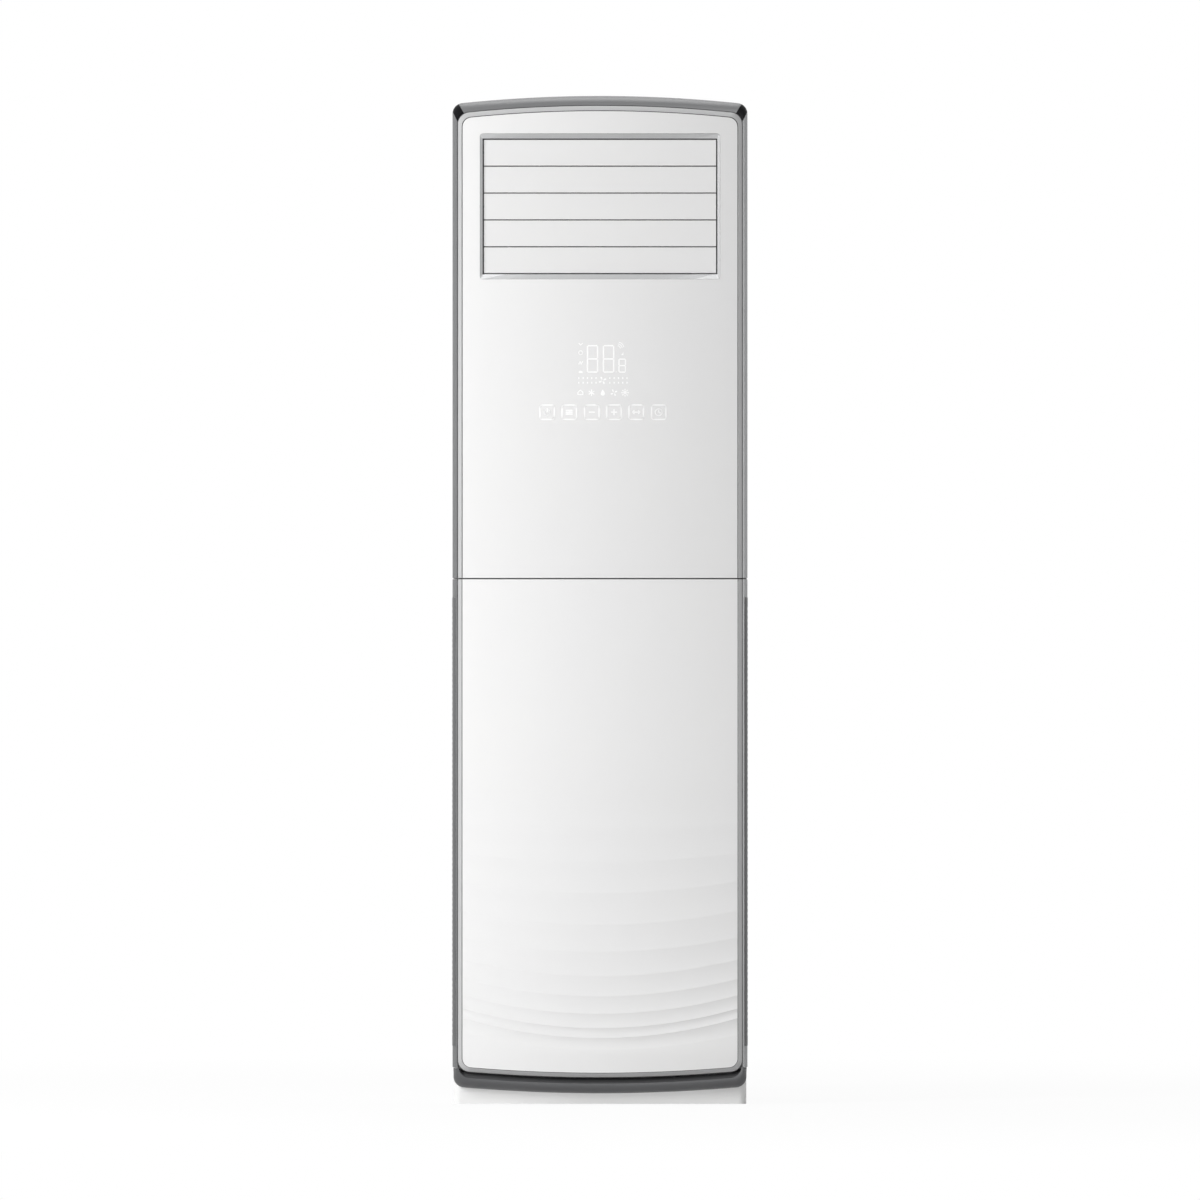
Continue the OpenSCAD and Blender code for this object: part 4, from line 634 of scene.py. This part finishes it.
# %% Upper and lower bezel
# Columns of the section that take painted shade: the outer edge and the lip behind the panel.
SHADE_COLUMNS = (0, 4, 5)
DOOR_BAND_H = 29.2
DOOR_LIP_BACK = 2.3
top_arch = (CASING_HALF, BODY_H, TOP_ARCH_R, 1, SEAM_TOP)
foot_arch = (CASING_HALF, TRIM_Z, LOW_ARCH_R, -1, SEAM_FOOT)
chains = bezel_chains(BAND_H, BEZEL_RISE, 0.0)
upper_ring = shell("upper_bezel_smooth", *[band(c, *top_arch) for c in chains],
                   bezel_silver, "cabinet", "silver_trim", SHADE_COLUMNS)
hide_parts("upper_bezel")
chains = bezel_chains(DOOR_BAND_H, DOOR_BEZEL_RISE, DOOR_LIP_BACK)
lower_ring = shell("lower_bezel_smooth", *[band(c, *foot_arch) for c in chains],
                   bezel_silver, "lower_door", "silver_trim", SHADE_COLUMNS)
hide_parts("lower_bezel")

# %% [markdown]
# ## Grey casing
# The casing turns from the front to the sides on a quarter-round. Dark caps fill a mitred cut at
# each top corner, so the sweep is made in three lengths with the corners left out, and a plain wall
# behind them closes the rim.

# %% Casing of the upper front
CAP_FIRST, CAP_LAST = 3, 13
CAP_PROUD = 2.3
path_last = 2 * CORNER_STEPS + ARCH_STEPS + 2
round_pair = (quarter(BAND_H, False), quarter(BAND_H, True))
wall_pair = ([(0, 0, CORNER_R, 0, CURVE_Y), (0, 0, CORNER_R, 0, JOIN_Y)],
             [(WALL, WALL, CORNER_R - WALL, 0, CURVE_Y), (WALL, WALL, CORNER_R - WALL, 0, JOIN_Y)])
spans = {"casing_top": (CAP_LAST, path_last - CAP_LAST + 1),
         "casing_left": (0, CAP_FIRST + 1),
         "casing_right": (path_last - CAP_FIRST, path_last + 1)}
casing = [shell(name, *[band(c, *top_arch, first, last) for c in round_pair],
                casing_grey, "cabinet", "grey_casing")
          for name, (first, last) in spans.items()]
casing.append(shell("casing_wall", *[band(c, *top_arch) for c in wall_pair],
                    casing_grey, "cabinet", "grey_casing"))
for piece in casing:
    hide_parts("upper_shell")

# %% [markdown]
# ## Corner caps
# Each cap is cut from the same sweep as the casing, so it meets it without a step at its edges, and
# it is pushed forward a little where the round turns to the side.

# %% Corner caps, a little proud of the casing
proud_pair = [[(side, fall, corner, share, y - CAP_PROUD * (1 - share))
               for side, fall, corner, share, y in chain] for chain in round_pair]
cap_spans = {"corner_cap_left": (CAP_FIRST, CAP_LAST + 1),
             "corner_cap_right": (path_last - CAP_LAST, path_last - CAP_FIRST + 1)}
caps = [shell(name, *[band(c, *top_arch, first, last) for c in proud_pair],
              cap_black, "cabinet", "dark_plastic")
        for name, (first, last) in cap_spans.items()]
for piece in caps:
    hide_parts("corner_caps")

# %% [markdown]
# ## Trim at the foot
# The trim under the door is one moulding: a shaded slope that runs back under the door, a small lip
# and a quarter-round of its own. It stays with the cabinet when the door tips forward.

# %% Trim, swept along the lower arch
TRIM_INSET = 1.8
TRIM_END = 65.6
TRIM_BACK_Y = -145.3
TRIM_SLOPE_Y = (22.0, 24.2)
SLOPE_BOW = 0.6


def trim_chain(inside):
    """Section of the trim, seen from outside or from inside."""
    skin = WALL if inside else 0
    wall = (skin, skin, CORNER_R - skin, 0, TRIM_BACK_Y)
    slope = (STRIP_W + 0.6, TRIM_H + 8.6, CORNER_R - 5, SLOPE_BOW, 0.4 * FRONT_Y + TRIM_SLOPE_Y[inside])
    return [slope, *quarter(TRIM_H, inside), wall]


trim_arch = (CASING_HALF - TRIM_INSET, TRIM_Z, LOW_ARCH_R, -1, TRIM_END)
foot_trim = shell("foot_trim", *[band(trim_chain(inside), *trim_arch) for inside in (False, True)],
                  trim_grey, "cabinet", "grey_casing")
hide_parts("bottom_trim")

# %% [markdown]
# ## The rippled door panel
# The lower panel carries shallow ripples that sag at the middle and crowd towards the foot, like
# sand left by waves. Between two lines the panel is hollowed by a millimetre or two, so it is dark
# just below each line and light just above the next. A displacement map would do, but the lines must
# meet the edge of the panel cleanly, so every row of the grid is a contour of a ripple.

# %% Rows of the door, from the seam down
RIPPLE_Z = [564.6, 502.6, 443.0, 385.9, 328.3, 278.8, 234.5, 198.0, 166.1, 140.1, 122.0]
RIPPLE_SAG = [6.0, 11.0, 15.8, 21.9, 25.6, 26.5, 30.0, 31.5, 33.5, 35.5, 36.0]
RIPPLE_DEPTH = 2.2
DOOR_HALF = CASING_HALF - STRIP_W - BEZEL_W - 0.9
DOOR_R = 16.5
DOOR_FOOT = 58.5
PLAIN_TO, FIRST_SAG_Z, FIRST_SAG = 640.0, 620.0, 3.0
LAST_Z, LAST_SAG, ROUND_Z = 100.0, 27.0, 94.0
arch_fall = LOW_ARCH_R - math.sqrt(LOW_ARCH_R ** 2 - (DOOR_HALF - DOOR_R) ** 2)
corner_z = DOOR_FOOT + arch_fall + DOOR_R
rows = [(z, 0.0, 0.0) for z in np.linspace(SEAM_FOOT, PLAIN_TO, 24)]
rows.append((FIRST_SAG_Z, FIRST_SAG, 0.0))
lines = [*zip(RIPPLE_Z, RIPPLE_SAG), (LAST_Z, LAST_SAG)]
for i, ((z, sag), (below, far)) in enumerate(zip(lines, lines[1:])):
    depth = RIPPLE_DEPTH * (0.16 + 0.84 * i / 10.0)
    for s in (0.0, 0.03, 0.08, *np.linspace(0.15, 0.85, 9), 0.92, 0.97):
        rows.append((z - (z - below) * s, sag + (far - sag) * s, depth * 4.0 * s * (1.0 - s)))
rows.append((LAST_Z, LAST_SAG, 0.0))
for a in np.radians(np.linspace(4, 90, 18)):
    edge = corner_z - DOOR_R * math.sin(a)
    middle = ROUND_Z - (ROUND_Z - DOOR_FOOT) * math.sin(a)
    rows.append((middle, edge - middle, 0.0))
print("door rows:", len(rows))

# %% Door panel as a shell over the bow
def door_grid(depth, columns=90):
    """One face of the panel: each row is a contour, narrowed where the lower corners are round."""
    grid = []
    for middle, rise, back in rows:
        edge = middle + rise
        half = DOOR_HALF
        if edge < corner_z:
            half += math.sqrt(max(0.0, DOOR_R ** 2 - (corner_z - edge) ** 2)) - DOOR_R
        t = np.linspace(-1, 1, columns + 1)
        x = half * t
        grid.append(np.stack([x, bow_y(x) + back + depth, middle + rise * t * t], axis=1))
    return np.array(grid)


door_skin = shell("door_panel", door_grid(0.0), door_grid(WALL),
                  panel_white, "lower_door", "white_panel", crisp=40.0)
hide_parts("lower_panel")

# %% [markdown]
# ## Fins of the coil
# Real fin stock is a tenth of a millimetre thick and set about two millimetres apart, pressed in
# waves so the air stays turbulent. The solid model spaces its fins wide to stay light. Here each fin
# is a waved strip, and a row of them leans with the coil.

# %% Waved fins at their real spacing
COIL_Y, COIL_Z, COIL_LEN, COIL_DEPTH = 60.0, 1150.0, 600.0, 42.0
COIL_TILT = math.radians(9.5)
FIN_PITCH, FIN_T, FIN_WAVES, FIN_CREST = 2.0, 0.16, 8, 0.35
STACK_HALF = 189.0
fin_points, fin_faces = [], []
for x in np.arange(-STACK_HALF, STACK_HALF + 0.1, FIN_PITCH):
    start = len(fin_points)
    for k in range(FIN_WAVES + 1):
        across = -COIL_DEPTH / 2 + COIL_DEPTH * k / FIN_WAVES
        wave = FIN_CREST if k % 2 else -FIN_CREST
        for side in (-FIN_T, FIN_T):
            for along in (-COIL_LEN / 2, COIL_LEN / 2):
                y = COIL_Y + across * math.cos(COIL_TILT) + along * math.sin(COIL_TILT)
                z = COIL_Z - across * math.sin(COIL_TILT) + along * math.cos(COIL_TILT)
                fin_points.append(((x + wave + side) * MM, y * MM, z * MM))
    for k in range(FIN_WAVES):
        a = start + 4 * k
        for p, q in ((0, 1), (3, 2), (1, 3), (2, 0)):
            fin_faces.append((a + p, a + q, a + q + 4, a + p + 4))
    end = start + 4 * FIN_WAVES
    fin_faces += [(start, start + 2, start + 3, start + 1), (end, end + 1, end + 3, end + 2)]
fins = build("coil_fin_stack", fin_points, fin_faces, fin_stock, "cabinet", 20.0)
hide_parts("coil_fins")

# %% [markdown]
# ## Printed display and touch keys
# The digits, icons and six keys are white ink on the gloss panel, given a faint glow of their own, a
# painted light that makes them read brighter than the panel. They could be a texture, but thin raised
# ink keeps its edge at any distance. Each mark is a stroke: a line of points given a width, laid on the
# bow.

# %% Ink that lies on the bow
ink = Finish("key_ink_glow")
ink_drift = ink.noise(900.0, 2.0)
# Painted light: the emission is a faint glow on ink that no lamp lights from behind.
ink.set(base_color=ink.blend(ink_drift, (0.90, 0.90, 0.90), (0.97, 0.97, 0.97)),
        roughness=0.45 + 0.1 * ink_drift, emission_color=(1.0, 1.0, 1.0), emission_strength=0.09)
key_ink_glow = ink.bump(ink.noise(2500.0, 2.0), 0.00001, 0.3).material
INK_PROUD, INK_DEEP, INK_SPREAD = 0.03, 0.12, 0.9
ink_points, ink_faces = [], []


def patch(outline):
    """One small filled polygon of ink, given as (x, z) points in millimetres."""
    start = len(ink_points)
    n = len(outline)
    for depth in (-INK_PROUD, INK_DEEP):
        for x, z in outline:
            ink_points.append((x * MM, (float(bow_y(x)) + depth) * MM, z * MM))
    ink_faces.append(tuple(range(start, start + n)))
    ink_faces.append(tuple(range(start + 2 * n - 1, start + n - 1, -1)))
    for i in range(n):
        j = (i + 1) % n
        ink_faces.append((start + i, start + n + i, start + n + j, start + j))


def stroke(points, width, closed=False):
    """A line of points drawn with a pen of the given width."""
    pts = [Vector(p) for p in points]
    last = len(pts) if closed else len(pts) - 1
    for i in range(last):
        a, b = pts[i], pts[(i + 1) % len(pts)]
        along = (b - a).normalized()
        side = Vector((-along.y, along.x)) * (width + INK_SPREAD) / 2
        reach = along * width * 0.35
        patch([(a - reach - side)[:], (b + reach - side)[:], (b + reach + side)[:], (a - reach + side)[:]])


def ring_points(x, z, r, count=20, start=0.0, sweep=360.0):
    """Points on a circle, or on a part of one when the sweep is less than a full turn."""
    return [(x + r * math.cos(math.radians(start + sweep * i / count)),
             z + r * math.sin(math.radians(start + sweep * i / count)))
            for i in range(count + (sweep < 360))]


# %% [markdown]
# ## Numbers and plain signs
# A digit on a lit display has seven bars, and here all are drawn, as on a panel seen before it is
# switched on. The icons are common signs for cooling, drying, heating, fan and timer. Their places are
# read from a straight front view as steps on a drawing grid, so one function turns a step into
# millimetres.

# %% Numbers: seven bars each
GRID_STEP, GRID_MIDDLE, GRID_FLOOR = 1.8237, 599.75, 1104.6


def at(column, row):
    """A place on the front in millimetres, from its place on the front view's drawing grid."""
    return (column - GRID_MIDDLE) * GRID_STEP, (GRID_FLOOR - row) * GRID_STEP


def digit(x0, x1, z0, z1, width):
    """All seven bars of a digit, with a small gap at each corner."""
    zm = (z0 + z1) / 2
    g = width * 0.75
    for z in (z1, zm, z0):
        stroke([(x0 + g, z), (x1 - g, z)], width)
    for x in (x0, x1):
        stroke([(x, zm + g), (x, z1 - g)], width)
        stroke([(x, z0 + g), (x, zm - g)], width)


BIG_DIGITS = ((587.2, 597.4), (603.2, 613.4))
SMALL_DIGIT = (618.8, 625.2)
DIGIT_HEAD, SMALL_HEAD, DIGIT_FOOT = 345.2, 358.6, 371.6
POINT_SPOT = (615.9, 371.4)
for left, right in BIG_DIGITS:
    (x0, z1), (x1, z0) = at(left, DIGIT_HEAD), at(right, DIGIT_FOOT)
    digit(x0, x1, z0, z1, 1.5)
(x0, z1), (x1, z0) = at(SMALL_DIGIT[0], SMALL_HEAD), at(SMALL_DIGIT[1], DIGIT_FOOT)
digit(x0, x1, z0, z1, 1.2)
patch(ring_points(*at(*POINT_SPOT), 0.9, 10))
print("marks so far:", len(ink_faces))

# %% Signs that are used more than once, or have many arms
def snowflake(x, z, r, width):
    for k in range(3):
        c, s = math.cos(math.radians(60 * k + 30)), math.sin(math.radians(60 * k + 30))
        stroke([(x - r * c, z - r * s), (x + r * c, z + r * s)], width)


def sun(x, z, r, width):
    patch(ring_points(x, z, r * 0.45, 14))
    for k in range(8):
        c, s = math.cos(math.radians(45 * k)), math.sin(math.radians(45 * k))
        stroke([(x + 0.65 * r * c, z + 0.65 * r * s), (x + r * c, z + r * s)], width)


def drop(x, z, r):
    patch([(x, z + r)] + ring_points(x, z - r * 0.25, r * 0.6, 12, 150.0, 240.0))


FAN_BLADE = [(0.12, 0.0), (0.55, 0.30), (1.0, 0.22), (0.92, -0.12), (0.45, -0.10)]


def fan(x, z, r):
    for k in range(4):
        c, s = math.cos(math.radians(90 * k + 20)), math.sin(math.radians(90 * k + 20))
        patch([(x + r * (u * c - v * s), z + r * (u * s + v * c)) for u, v in FAN_BLADE])


def outline_at(x, z, points, width, closed=False):
    """A stroke whose points are given from a middle."""
    stroke([(x + u, z + v) for u, v in points], width, closed)


print("signs: snowflake, sun, drop, fan")

# %% Icons beside and below the numbers
WAVES_SPOT, FLAG_SPOT, FAN_SPOT = (617.6, 347.8), (622.0, 353.0), (602.4, 380.0)
LEFT_COLUMN, LEFT_ROWS = 580.4, (344.0, 352.2, 362.4, 371.6)
DOT_STARTS, DOT_ROWS, DOT_STEP, DOT_COUNT = (578.6, 609.6), (377.6, 382.2), 4.3, 5
SIGN_ROW, SIGN_COLUMNS = 392.2, (580.2, 591.3, 602.6, 613.7, 624.8)
for arc, sweep in ((2.6, 90.0), (4.6, 80.0), (6.6, 70.0)):
    stroke(ring_points(*at(*WAVES_SPOT), arc * 1.7, 8, 45.0 - sweep / 2, sweep), 0.8)
x, z = at(*FLAG_SPOT)
patch([(x - 2.0, z - 3.0), (x + 2.2, z - 3.0), (x + 2.2, z + 3.2), (x + 0.6, z + 0.4)])
left_spots = [at(LEFT_COLUMN, row) for row in LEFT_ROWS]
outline_at(*left_spots[0], [(-3.4, 2.2), (0, -1.0), (3.4, 2.2)], 0.8)
stroke(ring_points(*left_spots[1], 3.6, 14), 0.7, closed=True)
outline_at(*left_spots[2], [(-3.4, -2.6), (-1.0, 2.6), (1.0, -2.6), (3.4, 2.6)], 0.8)
x, z = left_spots[3]
patch([(x - 3.6, z - 1.6), (x + 3.6, z - 1.6), (x + 3.6, z + 0.8), (x, z + 2.8), (x - 3.6, z + 0.8)])
for start in DOT_STARTS:
    for column in range(DOT_COUNT):
        for row in DOT_ROWS:
            x, z = at(start + column * DOT_STEP, row)
            patch([(x - 1.1, z - 1.6), (x + 1.1, z - 1.6), (x + 1.1, z + 1.6), (x - 1.1, z + 1.6)])
fan(*at(*FAN_SPOT), 7.4)
house, cold, dry, air, warm = [at(column, SIGN_ROW) for column in SIGN_COLUMNS]
outline_at(*house, [(-4.6, -3.4), (-4.6, 0.6), (0, 5.0), (4.6, 0.6), (4.6, -3.4)], 0.9, True)
snowflake(*cold, 5.6, 0.9)
drop(*dry, 6.4)
fan(*air, 6.6)
sun(*warm, 6.6, 0.9)
print("marks with icons:", len(ink_faces))

# %% [markdown]
# ## Six touch keys
# The keys are flat areas of the panel, each with a rounded frame and a sign. Every sign is one short
# function of the key's middle, and a table sets them out from left to right.

# %% Signs on the keys
KEY_PEN, FINE_PEN = 1.5, 1.3


def power_sign(x, z):
    stroke(ring_points(x, z, 5.2, 22, 125.0, 290.0), FINE_PEN)
    stroke([(x, z + 1.2), (x, z + 6.6)], FINE_PEN)


def mode_sign(x, z):
    for shift in (-3.4, 0.0, 3.4):
        stroke([(x - 6.0, z + shift), (x + 6.0, z + shift)], 1.2)
        patch(ring_points(x + shift * 0.9, z + shift, 1.7, 12))


def down_sign(x, z):
    stroke([(x - 5.0, z), (x + 5.0, z)], KEY_PEN)


def up_sign(x, z):
    down_sign(x, z)
    stroke([(x, z - 5.0), (x, z + 5.0)], KEY_PEN)


def swing_sign(x, z):
    stroke([(x - 6.4, z), (x + 6.4, z)], FINE_PEN)
    for s in (-1, 1):
        outline_at(x, z, [(s * 3.6, 3.0), (s * 6.8, 0), (s * 3.6, -3.0)], FINE_PEN)


def timer_sign(x, z):
    stroke(ring_points(x, z, 6.2, 24), FINE_PEN, closed=True)
    outline_at(x, z, [(0, 4.0), (0, 0), (3.2, -1.8)], FINE_PEN)


# %% Set out the keys and make all the print one piece
KEY_ROW, KEY_HALF, KEY_ROUND = 411.7, 13.2, 4.2
KEYS = ((546.9, power_sign), (569.0, mode_sign), (591.6, down_sign),
        (613.8, up_sign), (636.0, swing_sign), (658.5, timer_sign))
inner = KEY_HALF - KEY_ROUND
turns = ((inner, inner, 0), (-inner, inner, 90), (-inner, -inner, 180), (inner, -inner, 270))
for column, sign in KEYS:
    x, z = at(column, KEY_ROW)
    frame_line = [p for u, v, a in turns for p in ring_points(x + u, z + v, KEY_ROUND, 5, a, 90.0)]
    stroke(frame_line, KEY_PEN, closed=True)
    sign(x, z)
key_print = build("key_print", ink_points, ink_faces, key_ink_glow, "cabinet")

# %% [markdown]
# ## Studio
# The floor and the backdrop are white only as they are seen. Their light on the cabinet stays low, or
# every grey would wash out: a light path tells the shader which ray is asking, so the camera and a
# reflection get white and the rest get a dim sky. Near the cabinet the floor keeps part of its own
# shading, which is where its shadow lies.

# %% Floor
FADE_FROM, FADE_TO, FADE_NEAR = 0.6, 2.6, 0.93
WHITE = (1.0, 1.0, 1.0)
floor_mesh = bpy.data.meshes.new("studio_floor")
floor_mesh.from_pydata([(-30, -30, 0), (30, -30, 0), (30, 30, 0), (-30, 30, 0)], [], [(0, 1, 2, 3)])
floor = bpy.data.objects.new("studio_floor", floor_mesh)
bpy.context.scene.collection.objects.link(floor)
pale = Finish("studio_floor")
grit = pale.noise(9.0, 3.0)
pale.set(base_color=pale.blend(grit, (0.80, 0.80, 0.80), (0.83, 0.83, 0.83)), roughness=0.7 + 0.1 * grit)
seen = pale.add("ShaderNodeLightPath", {}, {}, "Is Camera Ray")
reach = pale.add("ShaderNodeVectorMath", {"operation": "LENGTH"}, {0: pale.place()}, 1)
fade = pale.add("ShaderNodeMapRange", {"interpolation_type": "SMOOTHSTEP"},
                {0: reach, 1: FADE_FROM, 2: FADE_TO, 3: FADE_NEAR, 4: 1.0})
glow = pale.add("ShaderNodeEmission", {}, {"Color": WHITE, "Strength": 1.0})
own = Wire(pale, pale.shader.outputs[0])
mixed = pale.add("ShaderNodeMixShader", {}, {0: seen * fade, 1: own, 2: glow})
pale.feed(pale.tree.nodes["Material Output"].inputs["Surface"], mixed)
floor_mesh.materials.append(pale.material)
print("floor is pure white from %.1f m on" % FADE_TO)

# %% World: a dim sky that the camera and reflections see as white
class Sky(Finish):
    """The same way of adding nodes, on the world's tree."""

    def __init__(self, world):
        world.use_nodes = True
        self.tree = world.node_tree
        self.tree.nodes.clear()


SKY_LIGHT, SKY_SEEN = 0.31, 1.0
world = bpy.data.worlds.new("studio_world")
bpy.context.scene.world = world
sky = Sky(world)
camera_ray, glossy_ray, through_ray = [sky.add("ShaderNodeLightPath", {}, {}, ray) for ray in
                                       ("Is Camera Ray", "Is Glossy Ray", "Is Transmission Ray")]
shown = sky.add("ShaderNodeMath", {"operation": "MAXIMUM"}, {0: camera_ray, 1: glossy_ray})
shown = sky.add("ShaderNodeMath", {"operation": "MAXIMUM"}, {0: shown, 1: through_ray})
dim, bright = [sky.add("ShaderNodeBackground", {}, {"Color": WHITE, "Strength": strength})
               for strength in (SKY_LIGHT, SKY_SEEN)]
backdrop = sky.add("ShaderNodeMixShader", {}, {0: shown, 1: dim, 2: bright})
sky.feed(sky.tree.nodes.new("ShaderNodeOutputWorld").inputs["Surface"], backdrop)
print("world light", SKY_LIGHT)

# %% [markdown]
# ## Lamps
# A large soft lamp at the left gives the panel its slow fade to the right. It leaves no shine of its
# own, which would burn out the gloss white seen from the right. Two weak ones, at the right and above
# the back, fill the side and the top. The rest use light linking, a list of the pieces that a lamp may
# reach, much as a photographer's flag shades what it should miss: a card and a strip at the right touch
# only the silver and grey edges, one lamp lifts the sill of the outlet, and two small ones lift the
# foot of the door and the plinth.

# %% Lamps
def lamp(name, place, aim, width, height, watts, diffuse=True, glossy=True, only=()):
    """A soft rectangle of light; with only, it reaches no other piece."""
    data = bpy.data.lights.new(name, "AREA")
    data.shape = "RECTANGLE"
    data.size, data.size_y, data.energy = width, height, watts
    thing = bpy.data.objects.new(name, data)
    thing.location = place
    thing.rotation_euler = (Vector(aim) - Vector(place)).to_track_quat("-Z", "Y").to_euler()
    thing.visible_diffuse, thing.visible_glossy = diffuse, glossy
    bpy.context.scene.collection.objects.link(thing)
    if only:
        reached = bpy.data.collections.new(name + "_reach")
        for piece in only:
            reached.objects.link(piece)
        thing.light_linking.receiver_collection = reached
    return thing


# %% Set out the lamps
strips = [*casing, nodes["door_frame"]]
edges = [upper_ring, lower_ring, *casing, *caps, foot_trim, nodes["door_frame"], nodes["outlet_frame"]]
lamps = [
    lamp("key_left", (-2.7, -2.0, 1.75), (0.0, -0.19, 0.95), 1.1, 2.2, 114.0, glossy=False),
    lamp("card_right", (2.1, -2.9, 1.1), (0.27, -0.17, 0.95), 1.9, 2.4, 140.0, diffuse=False, only=edges),
    lamp("strip_right", (2.2, -0.9, 1.1), (0.27, -0.15, 0.95), 0.6, 2.2, 42.0, only=strips),
    lamp("sill", (0.0, -1.0, 2.7), (0.0, -0.17, 1.52), 0.8, 0.3, 7.0, only=[nodes["outlet_frame"]]),
    lamp("rim_right", (2.4, 0.9, 1.1), (0.25, -0.15, 0.95), 0.9, 2.2, 4.0),
    lamp("top_back", (0.0, 0.7, 4.0), (0.0, 0.0, 1.8), 2.4, 1.6, 44.0),
    lamp("low_front", (0.0, -0.27, 0.008), (0.0, -0.15, 0.012), 0.5, 0.012, 0.13, glossy=False,
         only=[nodes["plinth"], foot_trim]),
    lamp("door_foot", (-0.2, -1.2, 0.12), (0.0, -0.19, 0.15), 1.2, 0.2, 0.8, glossy=False,
         only=[door_skin]),
]
print("lamps:", [(l.name, round(l.data.energy)) for l in lamps])

# %% [markdown]
# ## Camera
# The portrait is taken straight on, and the sides hardly show. A very long lens far away does that, and
# its length follows from the height that the frame has to show at the front plane.

# %% Camera, straight on, with the front plane filling the frame's height
FAR = 24.0
SENSOR = 36.0
FRAME_HEIGHT = 2.189
EYE_HEIGHT = 0.921
camera_data = bpy.data.cameras.new("portrait")
camera_data.lens = FAR * SENSOR / FRAME_HEIGHT
camera_data.sensor_width = SENSOR
camera_data.clip_end = 200.0
camera = bpy.data.objects.new("portrait", camera_data)
camera.location = (0.0, FRONT_Y * MM - FAR, EYE_HEIGHT)
camera.rotation_euler = (math.radians(90.0), 0.0, 0.0)
bpy.context.scene.collection.objects.link(camera)
bpy.context.scene.camera = camera
bpy.context.scene.view_settings.view_transform = "Standard"
print("lens %.1f mm" % camera_data.lens)
